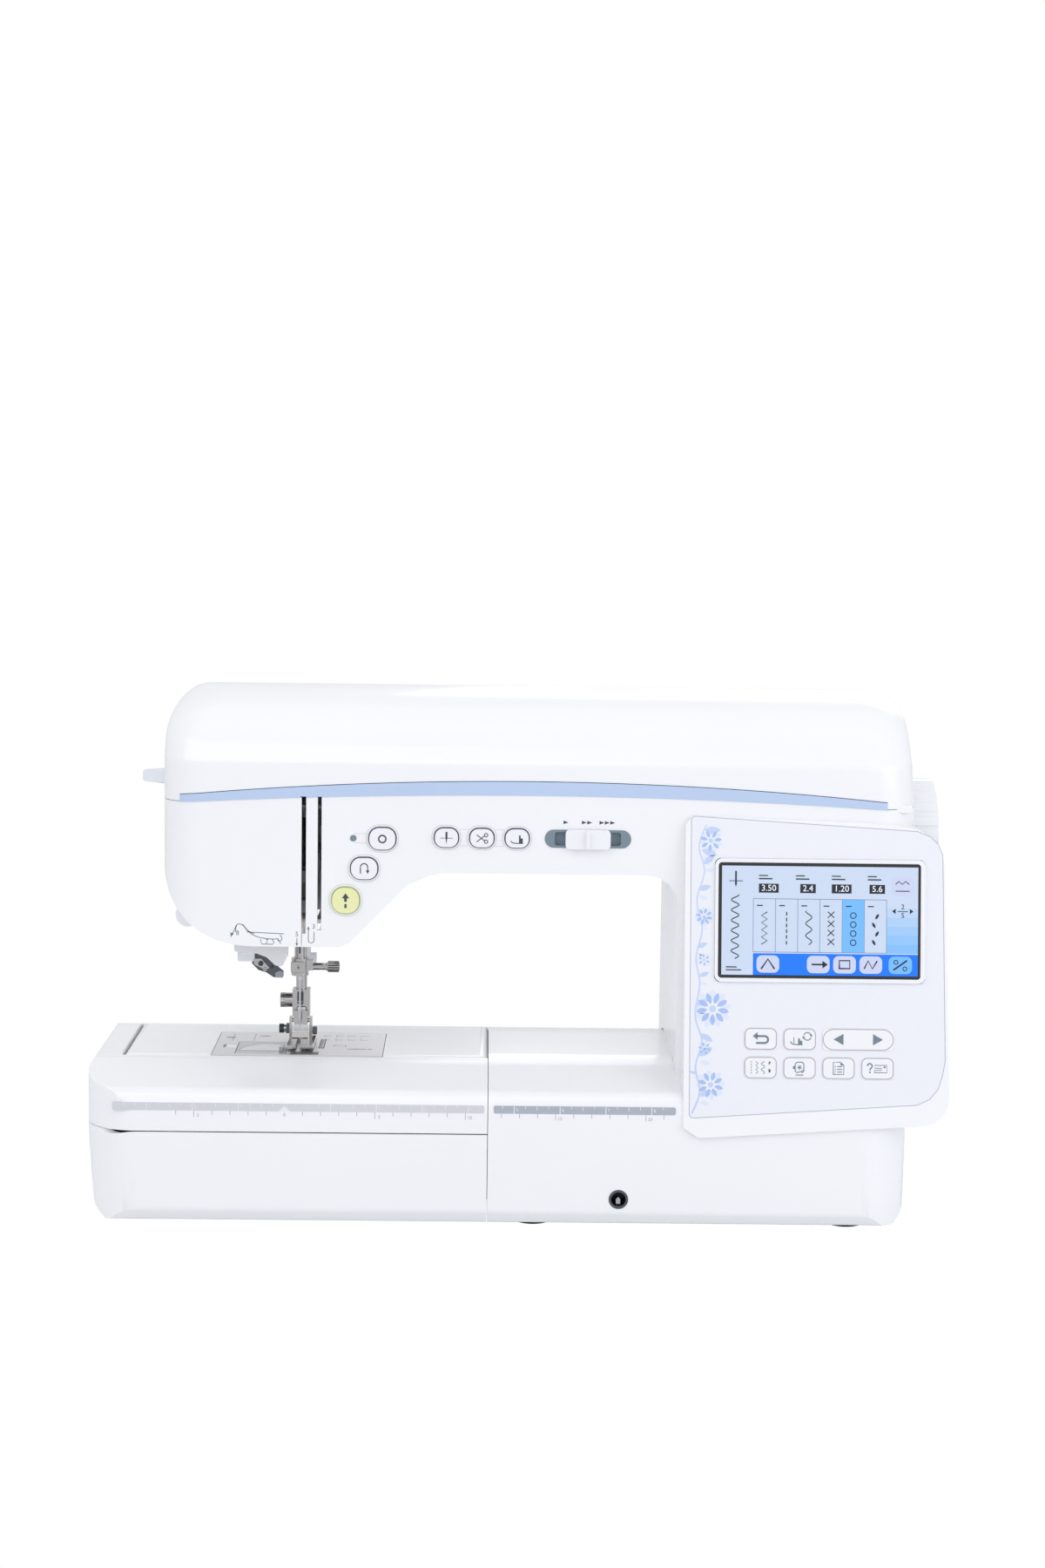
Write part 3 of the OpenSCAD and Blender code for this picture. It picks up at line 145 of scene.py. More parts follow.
# Colour in sRGB, then what the finish is made of.
FINISHES = {
    "cover_white": ((243, 244, 247), dict(rough=0.22, coat=0.3, bump=0.05, grain=500, shade=0.012)),
    "key_white": ((240, 241, 245), dict(rough=0.32, coat=0.1, bump=0.06, shade=0.015)),
    "start_lens": ((222, 224, 168), dict(rough=0.3, coat=0.2, bump=0.05, glow=0.12)),
    "strip_blue": ((186, 205, 236), dict(rough=0.22, coat=0.3, bump=0.05, shade=0.03)),
    "grey_plastic": ((150, 156, 164), dict(rough=0.45, bump=0.2, shade=0.05)),
    "groove_grey": ((120, 136, 147), dict(rough=0.4, bump=0.15, shade=0.05)),
    "groove_deep": ((156, 176, 191), dict(rough=0.4, bump=0.15, shade=0.05)),
    "black_plastic": ((34, 35, 38), dict(rough=0.42, bump=0.25, shade=0.12, edge_glint=0.6)),
    "clear_blue": ((196, 202, 208), dict(rough=0.12, coat=0.4, shade=0.06, see=0.35)),
    "steel": ((198, 197, 199), dict(rough=0.24, metal=0.95, bump=0.15, grain=1500, shade=0.05, edge_glint=0.1)),
    "plate_steel": ((222, 221, 223), dict(rough=0.32, metal=0.9, bump=0.15, grain=1500, shade=0.05)),
    "nickel": ((180, 177, 176), dict(rough=0.16, metal=1.0, bump=0.06, grain=700, shade=0.05, edge_glint=0.1)),
    "dark_steel": ((96, 98, 104), dict(rough=0.35, metal=0.9, bump=0.15, shade=0.08)),
    "cast": ((172, 175, 180), dict(rough=0.55, metal=0.85, bump=0.6, grain=260, shade=0.07)),
    "rubber": ((30, 30, 32), dict(rough=0.75, bump=0.4, grain=400, shade=0.12)),
    "board": ((30, 96, 58), dict(rough=0.4, coat=0.2, bump=0.2, shade=0.1)),
    "lamp": ((246, 246, 236), dict(rough=0.25, shade=0.01, glow=0.6)),
    "sheet_steel": ((104, 108, 114), dict(rough=0.45, metal=0.7, bump=0.2, shade=0.06)),
    # Slate ink for print, also the painted shade in the knob slit.
    "slate_ink_and_slit_shade": ((116, 130, 142), dict(rough=0.4, shade=0.03)),
    # Dark ink for print, also the painted shade in slots.
    "dark_ink_and_slot_shade": ((64, 72, 84), dict(rough=0.4, shade=0.05)),
    "ink_mauve": ((166, 152, 164), dict(rough=0.4, shade=0.03)),
    "film_white": ((236, 238, 245), dict(rough=0.25, coat=0.2, bump=0.03, shade=0.01)),
    # Bright steel, also used as the painted highlight in the shank window.
    "bright_steel_and_window_glint": ((232, 234, 238), dict(rough=0.2, metal=0.9, bump=0.08, grain=1500, shade=0.04)),
    "screw_black": ((60, 66, 72), dict(rough=0.28, metal=0.5, bump=0.2, grain=1500, shade=0.1)),
    "plate_grey": ((128, 128, 134), dict(rough=0.4, metal=0.3, shade=0.05)),
    "clear_smoke": ((203, 208, 213), dict(rough=0.12, coat=0.5, shade=0.03)),
    "lever_tint": ((232, 237, 245), dict(rough=0.25, coat=0.2, bump=0.05, shade=0.02)),
    "film_line": ((176, 176, 196), dict(rough=0.4, shade=0.02)),
    "faint_line": ((206, 211, 220), dict(rough=0.4, shade=0.02)),
    # Painted shade of the gaps round the front buttons.
    "gap_shade_grey": ((86, 86, 98), dict(rough=0.4, shade=0.05)),
    # Yellowish painted shade of the gap round the start key.
    "lens_gap_shade": ((184, 190, 160), dict(rough=0.4, shade=0.04)),
    "vine_pale": ((222, 230, 246), dict(rough=0.3, shade=0.02)),
    "vine_light": ((196, 211, 243), dict(rough=0.3, shade=0.03)),
    "vine_mid": ((168, 192, 240), dict(rough=0.3, shade=0.04)),
    "ruler_silver": ((214, 216, 222), dict(rough=0.35, metal=0.3, bump=0.3, grain=2600, shade=0.06)),
    "ruler_grey": ((178, 184, 194), dict(rough=0.35, metal=0.3, bump=0.3, grain=2600, shade=0.05)),
    "ruler_ink": ((176, 180, 190), dict(rough=0.4, shade=0.02)),
    "screen_black": ((26, 27, 34), dict(rough=0.16, coat=0.4, shade=0.05)),
    "screen_white": ((186, 190, 196), dict(rough=0.3, glow=1, shade=0.01)),
    "screen_ink": ((34, 38, 52), dict(rough=0.25, shade=0.03)),
    "screen_grey": ((108, 124, 148), dict(rough=0.25, glow=0.3, shade=0.02)),
    "screen_pale": ((150, 161, 178), dict(rough=0.22, glow=1, shade=0.015)),
    "screen_sky": ((84, 138, 190), dict(rough=0.22, glow=1, shade=0.02)),
    "screen_blue": ((6, 88, 188), dict(rough=0.22, glow=1, shade=0.02)),
    "screen_lilac": ((150, 156, 178), dict(rough=0.22, glow=1, shade=0.03)),
}
MATS = {name: finish_of(name, srgb(*tone), **look) for name, (tone, look) in FINISHES.items()}
for band in range(6):
    blend = band / 5
    tone = srgb(96 + 54 * blend, 140 + 21 * blend, 186 - 8 * blend)
    MATS[f"screen_shade_{band}"] = finish_of(f"screen_shade_{band}", tone, 0.22, glow=1, shade=0.01)


# ---------------------------------------------------------------- CAD nodes: finish and soft edges

NODE_FINISH = {
    "start_key": "start_lens", "accent_strip": "strip_blue", "threader_lever": "strip_blue",
    "bottom_plate": "sheet_steel", "main_motor": "sheet_steel", "rubber_feet": "rubber",
               "drive_belts": "rubber",
    "needle_plate": "plate_steel", "bobbin_cover": "clear_blue", "bobbin": "clear_blue",
               "bobbin_case": "black_plastic",
    "display": "key_white", "inlet_panel": "black_plastic", "power_switch": "black_plastic",
               "machine_frame": "cast",
    "circuit_board": "board", "work_lamp": "lamp", "threader_head": "grey_plastic",
}
STEEL_NODES = ("rotary_hook", "feed_dogs", "lower_shaft", "upper_shaft", "motor_pulley", "needle")
NICKEL_NODES = ("take_up_lever", "needle_bar", "needle_clamp", "presser_bar", "foot_holder", "presser_foot")
KEY_NODES = ("cover_latch", "handwheel", "presser_lever", "spool_pin", "spool_cap", "bobbin_winder",
             "carrying_handle", "reverse_key", "tack_key", "needle_key", "cutter_key", "foot_key",
             "speed_slider", "thread_cutter", "back_key", "width_key", "page_rocker", "stitch_key",
             "hoop_key", "list_key", "help_key")
SHELL_BEVEL = {
    "top_lid": 1.2, "front_cover": 1.0, "rear_cover": 1.0, "face_cover": 1.0, "base_cover": 1.2,
    "flat_bed": 1.2, "accessory_door": 1.0, "control_panel": 2.0, "free_arm_cover": 0.8, "handwheel": 0.8,
    "accent_strip": 0.5, "threader_lever": 0.8, "carrying_handle": 0.6, "display": 0.5,
}


def smoothing_group():
    """Geometry nodes that shade smooth and keep edges over 32 degrees sharp."""
    group = bpy.data.node_groups.new("soft_shading", "GeometryNodeTree")
    group.interface.new_socket("Geometry", in_out="INPUT", socket_type="NodeSocketGeometry")
    group.interface.new_socket("Geometry", in_out="OUTPUT", socket_type="NodeSocketGeometry")
    nodes, links = group.nodes, group.links
    start, end = nodes.new("NodeGroupInput"), nodes.new("NodeGroupOutput")
    faces, edges = nodes.new("GeometryNodeSetShadeSmooth"), nodes.new("GeometryNodeSetShadeSmooth")
    edges.domain = "EDGE"
    edges.inputs["Shade Smooth"].default_value = False
    angle = nodes.new("GeometryNodeInputMeshEdgeAngle")
    over = nodes.new("FunctionNodeCompare")
    over.inputs["B"].default_value = math.radians(SHARP_DEGREES)
    links.new(angle.outputs["Unsigned Angle"], over.inputs["A"])
    links.new(start.outputs[0], faces.inputs["Geometry"])
    links.new(faces.outputs[0], edges.inputs["Geometry"])
    links.new(over.outputs["Result"], edges.inputs["Selection"])
    links.new(edges.outputs[0], end.inputs[0])
    return group


SOFT_SHADING = smoothing_group()


def soften(obj, bevel):
    weld = obj.modifiers.new("weld", "WELD")
    weld.merge_threshold = MERGE_DISTANCE
    if bevel:
        edge = obj.modifiers.new("edge", "BEVEL")
        edge.width = bevel * MM
        edge.segments = 3
        edge.limit_method = "ANGLE"
        edge.angle_limit = math.radians(32)
        edge.harden_normals = False
        edge.use_clamp_overlap = True
    shade = obj.modifiers.new("shade", "NODES")
    shade.node_group = SOFT_SHADING
    if bevel:
        flat = obj.modifiers.new("flat", "WEIGHTED_NORMAL")
        flat.weight = 60
        flat.keep_sharp = True


def repaint(obj, finish, bevel):
    obj.data.materials.clear()
    obj.data.materials.append(MATS[finish])
    soften(obj, bevel)


def dress_nodes():
    for name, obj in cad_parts.items():
        finish = NODE_FINISH.get(name, "cover_white")
        if name in STEEL_NODES:
            finish = "steel"
        elif name in NICKEL_NODES:
            finish = "nickel"
        elif name in KEY_NODES:
            finish = "key_white"
        repaint(obj, finish, SHELL_BEVEL.get(name, 0.25))


dress_nodes()


# ---------------------------------------------------------------- building pieces

def add_piece(name, verts, faces, mat, body="root", bevel=0.0):
    """A mesh piece from points in mm, riding on a body."""
    mesh = bpy.data.meshes.new(name)
    mesh.from_pydata([Vector(v) * MM for v in verts], [], faces)
    mesh.validate()
    mesh.update()
    obj = bpy.data.objects.new(name, mesh)
    bpy.context.scene.collection.objects.link(obj)
    mesh.materials.append(MATS[mat] if isinstance(mat, str) else mat)
    soften(obj, bevel)
    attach(obj, body)
    return obj


def join_loops(loops):
    """Verts and faces of several closed outlines, each (points, normal offset) made into a thin plate."""
    verts, faces = [], []
    for front, back in loops:
        n, base = len(front), len(verts)
        verts += list(front) + list(back)
        faces.append(list(range(base, base + n)))
        faces.append(list(range(base + 2 * n - 1, base + n - 1, -1)))
        for i in range(n):
            j = (i + 1) % n
            faces.append([base + j, base + i, base + n + i, base + n + j])
    return verts, faces


class Plane:
    """A flat place on the machine: u to the right, v up, w out of the surface, in mm."""

    def __init__(self, origin, lean=0.0, flat=False):
        self.origin = Vector(origin)
        self.u = Vector((1, 0, 0))
        if flat:
            self.v, self.w = Vector((0, 1, 0)), Vector((0, 0, 1))
        else:
            self.v = Vector((0, math.sin(lean), math.cos(lean)))
            self.w = Vector((0, -math.cos(lean), math.sin(lean)))

    def at(self, u, v, w=0.0):
        return self.origin + self.u * u + self.v * v + self.w * w


def plates(name, plane, outlines, mat, body="root", low=-0.1, high=0.12, bevel=0.0):
    """Thin plates on a plane: each outline is a list of (u, v) going anticlockwise."""
    loops = []
    for line in outlines:
        area = sum(a[0] * b[1] - b[0] * a[1] for a, b in zip(line, line[1:] + line[:1]))
        line = line if area > 0 else line[::-1]
        loops.append(([plane.at(u, v, high) for u, v in line], [plane.at(u, v, low) for u, v in line]))
    verts, faces = join_loops(loops)
    return add_piece(name, verts, faces, mat, body, bevel)


def rect(u0, v0, u1, v1):
    return [(u0, v0), (u1, v0), (u1, v1), (u0, v1)]


def round_rect(u0, v0, u1, v1, r, steps=6):
    points = []
    for cu, cv, start in ((u1 - r, v0 + r, -90), (u1 - r, v1 - r, 0), (u0 + r, v1 - r, 90),
                          (u0 + r, v0 + r, 180)):
        for i in range(steps + 1):
            a = math.radians(start + 90 * i / steps)
            points.append((cu + r * math.cos(a), cv + r * math.sin(a)))
    return points


def disc(u, v, r, steps=24, squash=1.0):
    return [(u + r * math.cos(2 * math.pi * i / steps), v + squash * r * math.sin(2 * math.pi * i / steps))
            for i in range(steps)]


def stroke(points, width):
    """Outline of a line of the given width through the points."""
    left, right = [], []
    for i, (u, v) in enumerate(points):
        before, after = points[max(0, i - 1)], points[min(len(points) - 1, i + 1)]
        du, dv = after[0] - before[0], after[1] - before[1]
        n = math.hypot(du, dv) or 1
        nu, nv = -dv / n * width / 2, du / n * width / 2
        left.append((u + nu, v + nv))
        right.append((u - nu, v - nv))
    return left + right[::-1]


def arc(cu, cv, r, a0, a1, steps=12, rv=None):
    rv = r if rv is None else rv
    return [(cu + r * math.cos(math.radians(a0 + (a1 - a0) * i / steps)),
             cv + rv * math.sin(math.radians(a0 + (a1 - a0) * i / steps))) for i in range(steps + 1)]


def ring_frames(name, plane, outlines, width, mat, body="root", low=-0.1, high=0.1):
    """Closed outlines drawn as thin raised lines."""
    verts, faces = [], []
    for line in outlines:
        n = len(line)
        cu, cv = sum(p[0] for p in line) / n, sum(p[1] for p in line) / n
        half_u = max(p[0] for p in line) - cu
        half_v = max(p[1] for p in line) - cv
        su, sv = 1 - width / half_u, 1 - width / half_v
        inner = [(cu + (u - cu) * su, cv + (v - cv) * sv) for u, v in line]
        base = len(verts)
        for ring, w in ((line, high), (inner, high), (line, low), (inner, low)):
            verts += [plane.at(u, v, w) for u, v in ring]
        for i in range(n):
            j = (i + 1) % n
            o0, o1, i0, i1 = base + i, base + j, base + n + i, base + n + j
            p0, p1, q0, q1 = base + 2 * n + i, base + 2 * n + j, base + 3 * n + i, base + 3 * n + j
            faces += [[o0, o1, i1, i0], [p1, p0, q0, q1], [o1, o0, p0, p1], [i0, i1, q1, q0]]
    return add_piece(name, verts, faces, mat, body)


def digits(name, plane, items, size, mat, body="root", high=0.1, low=-0.1):
    """Plain numbers on a plane, as meshes: items are (text, u, v)."""
    verts, faces = [], []
    for text, u, v in items:
        font = bpy.data.curves.new(name + "_font", "FONT")
        font.body = text
        font.size = size
        font.align_x = "CENTER"
        font.align_y = "CENTER"
        font.resolution_u = 3
        holder = bpy.data.objects.new(name + "_holder", font)
        bpy.context.scene.collection.objects.link(holder)
        bpy.context.view_layer.update()
        flat = bpy.data.meshes.new_from_object(holder.evaluated_get(bpy.context.evaluated_depsgraph_get()))
        bm = bmesh.new()
        bm.from_mesh(flat)
        bmesh.ops.recalc_face_normals(bm, faces=bm.faces)
        base = len(verts)
        verts += [plane.at(u + p.co.x, v + p.co.y, high) for p in bm.verts]
        for f in bm.faces:
            loop = [base + p.index for p in f.verts]
            faces.append(loop if f.normal.z > 0 else loop[::-1])
        bm.free()
        bpy.data.objects.remove(holder)
        bpy.data.curves.remove(font)
        bpy.data.meshes.remove(flat)
    obj = add_piece(name, verts, faces, mat, body)
    thick = obj.modifiers.new("thick", "SOLIDIFY")
    thick.thickness = (high - low) * MM
    thick.offset = -1
    return obj


# ---------------------------------------------------------------- stage and lights

def add_light(name, at, aim, size_x, size_y, power, color=(1, 1, 1)):
    data = bpy.data.lights.new(name, "AREA")
    data.shape = "RECTANGLE"
    data.size, data.size_y = size_x, size_y
    data.energy = power
    data.color = color
    lamp = bpy.data.objects.new(name, data)
    bpy.context.scene.collection.objects.link(lamp)
    lamp.location = at
    lamp.rotation_euler = (Vector(aim) - Vector(at)).to_track_quat("-Z", "Y").to_euler()
    lamp.visible_camera = False


def white_to_camera(nodes, links, own, white, output):
    """Shows white to the camera and the own shader to every other ray."""
    path = nodes.new("ShaderNodeLightPath")
    mix = nodes.new("ShaderNodeMixShader")
    links.new(path.outputs["Is Camera Ray"], mix.inputs[0])
    links.new(own.outputs[0], mix.inputs[1])
    links.new(white.outputs[0], mix.inputs[2])
    links.new(mix.outputs[0], nodes[output].inputs[0])


def add_stage():
    """A pale floor in a pale room, both plain white where the camera sees them."""
    size = 6
    mesh = bpy.data.meshes.new("floor")
    mesh.from_pydata([(-size, -size, 0), (size, -size, 0), (size, size, 0), (-size, size, 0)], [],
                     [(0, 1, 2, 3)])
    floor = bpy.data.objects.new("floor", mesh)
    bpy.context.scene.collection.objects.link(floor)
    mat = bpy.data.materials.new("floor")
    mat.use_nodes = True
    nodes, links = mat.node_tree.nodes, mat.node_tree.links
    shader = nodes["Principled BSDF"]
    shader.inputs["Base Color"].default_value = (0.82, 0.83, 0.85, 1)
    shader.inputs["Roughness"].default_value = 0.5
    white = nodes.new("ShaderNodeEmission")
    white_to_camera(nodes, links, shader, white, "Material Output")
    mesh.materials.append(mat)
    world = bpy.data.worlds.new("studio")
    bpy.context.scene.world = world
    world.use_nodes = True
    nodes, links = world.node_tree.nodes, world.node_tree.links
    room = nodes["Background"]
    room.inputs["Color"].default_value = (0.98, 0.985, 1, 1)
    room.inputs["Strength"].default_value = 0.8
    seen = nodes.new("ShaderNodeBackground")
    seen.inputs["Color"].default_value = (1, 1, 1, 1)
    white_to_camera(nodes, links, room, seen, "World Output")


add_stage()
add_light("key_light", (-0.9, -1.5, 1.5), (0, 0, 0.12), 2.4, 1.4, 10)
add_light("fill_light", (1.5, -1.2, 0.7), (0, 0, 0.15), 1.4, 1.2, 7, (0.95, 0.97, 1))
add_light("top_light", (0, 0.2, 1.6), (0, 0, 0.1), 1.6, 1.2, 1.2)
add_light("back_light", (0.5, 1.6, 1.0), (0, 0, 0.15), 1.2, 1.0, 4)


# ---------------------------------------------------------------- smooth skins of the lid and the bed

ARM_LEFT, ARM_RIGHT, ARM_FRONT, ARM_BACK = -199.5, 223, -97, 52
SEAM_Z, LID_TOP, WALL = 234, 295.5, 2.4
CREST_Y = -26
HINGE_XS = (-151.5, 163)


def fillet(points, radii, steps=7):
    """Polygon with its corners rounded by the given radii."""
    out = []
    n = len(points)
    for i, (p, r) in enumerate(zip(points, radii)):
        p = Vector(p)
        a, b = Vector(points[i - 1]) - p, Vector(points[(i + 1) % n]) - p
        half = a.angle(b) / 2
        reach = min(r / math.tan(half), 0.48 * a.length, 0.48 * b.length) if r else 0
        if reach < 1e-3:
            out.append(tuple(p))
            continue
        start, end = p + a.normalized() * reach, p + b.normalized() * reach
        for k in range(steps + 1):
            t = k / steps
            out.append(tuple(start * (1 - t) ** 2 + p * (2 * t * (1 - t)) + end * t ** 2))
    return out


def span(points, z):
    """Lowest and highest first coordinate of a polygon at the height z."""
    hits = []
    for (a, za), (b, zb) in zip(points, points[1:] + points[:1]):
        if min(za, zb) <= z <= max(za, zb):
            hits += [a, b] if za == zb else [a + (b - a) * (z - za) / (zb - za)]
    return min(hits), max(hits)


def layered_solid(name, face, side, heights, radius):
    """Solid whose layers are rounded rectangles between a front outline and a side outline."""
    verts, faces = [], []
    steps = 10
    for z in heights:
        x0, x1 = span(face, z)
        y0, y1 = span(side, z)
        r = min(radius(z), (x1 - x0) / 2.02, (y1 - y0) / 2.02)
        verts += [(x, y, z) for x, y in round_rect(x0, y0, x1, y1, r, steps)]
    n = len(verts) // len(heights)
    for row in range(len(heights) - 1):
        a, b = row * n, (row + 1) * n
        faces += [[a + i, a + (i + 1) % n, b + (i + 1) % n, b + i] for i in range(n)]
    faces += [list(range(n))[::-1], [len(verts) - n + i for i in range(n)]]
    return shape(name, verts, faces)


def shape(name, verts, faces):
    """Bare mesh object in mm, facing outward."""
    mesh = bpy.data.meshes.new(name)
    mesh.from_pydata([Vector(v) * MM for v in verts], [], faces)
    mesh.validate()
    work = bmesh.new()
    work.from_mesh(mesh)
    bmesh.ops.recalc_face_normals(work, faces=work.faces)
    work.to_mesh(mesh)
    work.free()
    obj = bpy.data.objects.new(name, mesh)
    bpy.context.scene.collection.objects.link(obj)
    return obj


def prism(name, outline, axis, low, high):
    """Solid from an outline swept along an axis; the outline holds the two other coordinates."""
    n = len(outline)
    place = {"x": lambda a, b, t: (t, a, b), "y": lambda a, b, t: (a, t, b), "z": lambda a, b,
             t: (a, b, t)}[axis]
    verts = [place(a, b, low) for a, b in outline] + [place(a, b, high) for a, b in outline]
    faces = [list(range(n)), list(range(2 * n - 1, n - 1, -1))]
    faces += [[i, i + n, (i + 1) % n + n, (i + 1) % n] for i in range(n)]
    return shape(name, verts, faces)


def combine(obj, tool, how):
    """Boolean of two solids; the tool is used up."""
    step = obj.modifiers.new("step", "BOOLEAN")
    step.object = tool
    step.operation = how
    step.solver = "EXACT"
    graph = bpy.context.evaluated_depsgraph_get()
    mesh = bpy.data.meshes.new_from_object(obj.evaluated_get(graph))
    obj.modifiers.clear()
    obj.data = mesh
    bpy.data.objects.remove(tool)
    return obj


def strip_top(x):
    bow = 1 - ((x - 8) / 197) ** 2
    return 234 + 6 * bow + 4 + 3.6 * bow


def ellipse(cx, cz, rx, rz, a0, a1, steps):
    return [(cx + rx * math.cos(math.radians(a0 + (a1 - a0) * i / steps)),
             cz + rz * math.sin(math.radians(a0 + (a1 - a0) * i / steps))) for i in range(steps + 1)]


def lid_solid(name, d, low):
    face = ([(ARM_LEFT + d, low)] + ellipse(-179.5, LID_TOP - 28, 20 - d, 28 - d, 180, 90, 16)
            + ellipse(206, LID_TOP - 19, 14 - d, 19 - d, 90, 10, 12) + [(ARM_RIGHT - d, low)])
    front = ellipse(CREST_Y, LID_TOP - 44, 70 - d, 44 - d, 170, 90, 24)
    side = ([(ARM_FRONT + d, low)] + fillet([(ARM_FRONT + d, 250), (ARM_FRONT + d + 0.2, 257.4), front[2]],
                                            [0, 5, 0])
            + front[2:] + ellipse(CREST_Y, LID_TOP - 44, 78 - d, 44 - d, 90, 0, 24) + [(ARM_BACK - d, low)])
    top = LID_TOP - d
    heights = [low, 240, 246, 250] + [252 + 1.1 * i for i in range(18)]
    heights += [top - 24 * (1 - i / 22) ** 2 for i in range(1, 22)] + [top - 0.01]
    heights = sorted(h for h in set(heights) if h < top)
    return layered_solid(name, face, side, heights, lambda z: 24 - d)


def add_lid():
    """Lid shell with a soft shoulder, rounded ends and the bowed edge over the strip."""
    lid = lid_solid("lid_shell", 0, SEAM_Z + 0.35)
    combine(lid, lid_solid("lid_inside", WALL, SEAM_Z - 2), "DIFFERENCE")
    xs = [-189 + 394 * i / 40 for i in range(41)]
    edge = [(x, strip_top(x) + 0.35) for x in xs] + [(205, SEAM_Z - 3), (-189, SEAM_Z - 3)]
    combine(lid, prism("edge_cut", edge, "y", ARM_FRONT - 2, ARM_FRONT + 30), "DIFFERENCE")
    notch = fillet([(-55.5, SEAM_Z - 1), (-44.5, SEAM_Z - 1), (-44.5, 251), (-55.5, 251)], [0, 0, 2, 2])
    combine(lid, prism("lever_cut", notch, "x", ARM_LEFT - 1, ARM_LEFT + 14), "DIFFERENCE")
    for x in HINGE_XS:
        barrel = ellipse(ARM_BACK, SEAM_Z, 3.35, 3.35, 0, 350, 35)
        combine(lid, prism("hinge_cut", barrel, "x", x - 6.7, x + 18.7), "DIFFERENCE")
    for x in HINGE_XS:
        lug = [(ARM_BACK - 1.2, SEAM_Z + 0.8), (ARM_BACK, SEAM_Z + 0.8), (ARM_BACK, 238),
               (ARM_BACK - 1.2, 238)]
        combine(lid, prism("hinge_lug", lug, "x", x, x + 12), "UNION")
        combine(lid, prism("hinge_barrel", ellipse(ARM_BACK, SEAM_Z, 3, 3, 0, 350, 35), "x", x, x + 12),
                "UNION")
        bore = ellipse(ARM_BACK, SEAM_Z, 1.6, 1.6, 0, 350, 35)
        combine(lid, prism("hinge_bore", bore, "x", x - 1, x + 13), "DIFFERENCE")
    repaint(lid, "cover_white", 0.5)
    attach(lid, "lid")
    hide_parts("top_lid")


add_lid()


BED_LEFT, BED_RIGHT, BED_NEAR, BED_FAR = -240, 220, -122, 124.5
BED_Z, GROUND = 87.5, 3


def bed_solid():
    """Rounded form of the whole bed: its side, front and plan outlines swept and crossed."""
    side = fillet([(-118, GROUND), (BED_NEAR, 10), (BED_NEAR, 68), (-119, 76.5), (-75, BED_Z), (15, BED_Z),
                   (110.5, 65.4), (BED_FAR, 57.4), (BED_FAR, 10), (119.5, GROUND)],
                  [2, 6, 14, 13, 90, 150, 12, 9, 6, 2], 12)
    face = fillet([(-228, GROUND), (-235, 9), (BED_LEFT, 58), (BED_LEFT, BED_Z), (BED_RIGHT, BED_Z),
                   (BED_RIGHT, 58), (218, 9), (212, GROUND)],
                  [3, 10, 60, 6, 6, 60, 10, 3], 12)
    solid = prism("bed_side", side, "x", BED_LEFT - 5, BED_RIGHT + 5)
    combine(solid, prism("bed_face", face, "y", -130, 130), "INTERSECT")
    plan = round_rect(BED_LEFT, BED_NEAR, BED_RIGHT, BED_FAR, 30, 24)
    return combine(solid, prism("bed_plan", plan, "z", 0, 90), "INTERSECT")


def add_bed():
    """Bed shells with rounded shoulders: the CAD forms trimmed by a soft skin."""
    for node, body in (("base_cover", "root"), ("flat_bed", "flat_bed"), ("accessory_door", "door")):
        obj = bpy.data.objects.new(node + "_soft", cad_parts[node].data.copy())
        bpy.context.scene.collection.objects.link(obj)
        weld = obj.modifiers.new("weld", "WELD")
        weld.merge_threshold = MERGE_DISTANCE
        combine(obj, bed_solid(), "INTERSECT")
        repaint(obj, "cover_white", 0.6)
        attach(obj, body)
        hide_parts(node)


add_bed()


# ---------------------------------------------------------------- the control panel

PANEL_LEAN = math.atan(25 / 175)
PANEL = Plane((0, -124.5, 55), PANEL_LEAN)
FILM_EDGE = [(98.5, 9.6), (222, 17.8), (229, 21), (233.6, 26.5), (236, 33.5), (237.6, 42.4), (235.6, 156.3),
             (233.2, 162.2), (228.6, 166.6), (221.5, 169.4), (97, 176.6), (95.6, 175.2), (95.8, 11.4),
             (96.6, 9.9)]
KEY_COLUMNS = [135 + 21.65 * i for i in range(4)]
KEY_ROWS = (53.7, 37.8)
KEY_HALF = (9, 6)
KEY_FACE = 0.6
LCD = (110.9, 87.3, 223.3, 151.2)
SCREEN = (112.8, 89.0, 221.9, 149.4)


def sheet_with_holes(name, plane, outer, holes, mat, body="root", low=-0.1, high=0.06):
    """A thin flat layer with openings in it."""
    loops = [outer] + holes
    flat = [p for loop in loops for p in loop]
    tris = tessellate_polygon([[Vector((u, v, 0)) for u, v in loop] for loop in loops])
    n = len(flat)
    verts = [plane.at(u, v, high) for u, v in flat] + [plane.at(u, v, low) for u, v in flat]
    faces = []
    for a, b, c in tris:
        area = ((flat[b][0] - flat[a][0]) * (flat[c][1] - flat[a][1])
                - (flat[c][0] - flat[a][0]) * (flat[b][1] - flat[a][1]))
        top = [a, b, c] if area > 0 else [a, c, b]
        faces += [top, [n + i for i in reversed(top)]]
    base = 0
    for loop in loops:
        for i in range(len(loop)):
            a, b = base + i, base + (i + 1) % len(loop)
            faces.append([a, b, n + b, n + a])
        base += len(loop)
    return add_piece(name, verts, faces, mat, body)


def grown(box, by):
    return box[0] - by, box[1] - by, box[2] + by, box[3] + by


def key_boxes():
    """Boxes of the seven panel keys, by the name of their node."""
    (hu, hv), boxes = KEY_HALF, {}
    top, low = KEY_ROWS
    c = KEY_COLUMNS
    for name, u in zip(("back_key", "width_key"), c):
        boxes[name] = (u - hu, top - hv, u + hu, top + hv)
    boxes["page_rocker"] = (c[2] - hu, top - hv, c[3] + hu, top + hv)
    for name, u in zip(("stitch_key", "hoop_key", "list_key", "help_key"), c):
        boxes[name] = (u - hu, low - hv, u + hu, low + hv)
    return boxes


KEYS = key_boxes()


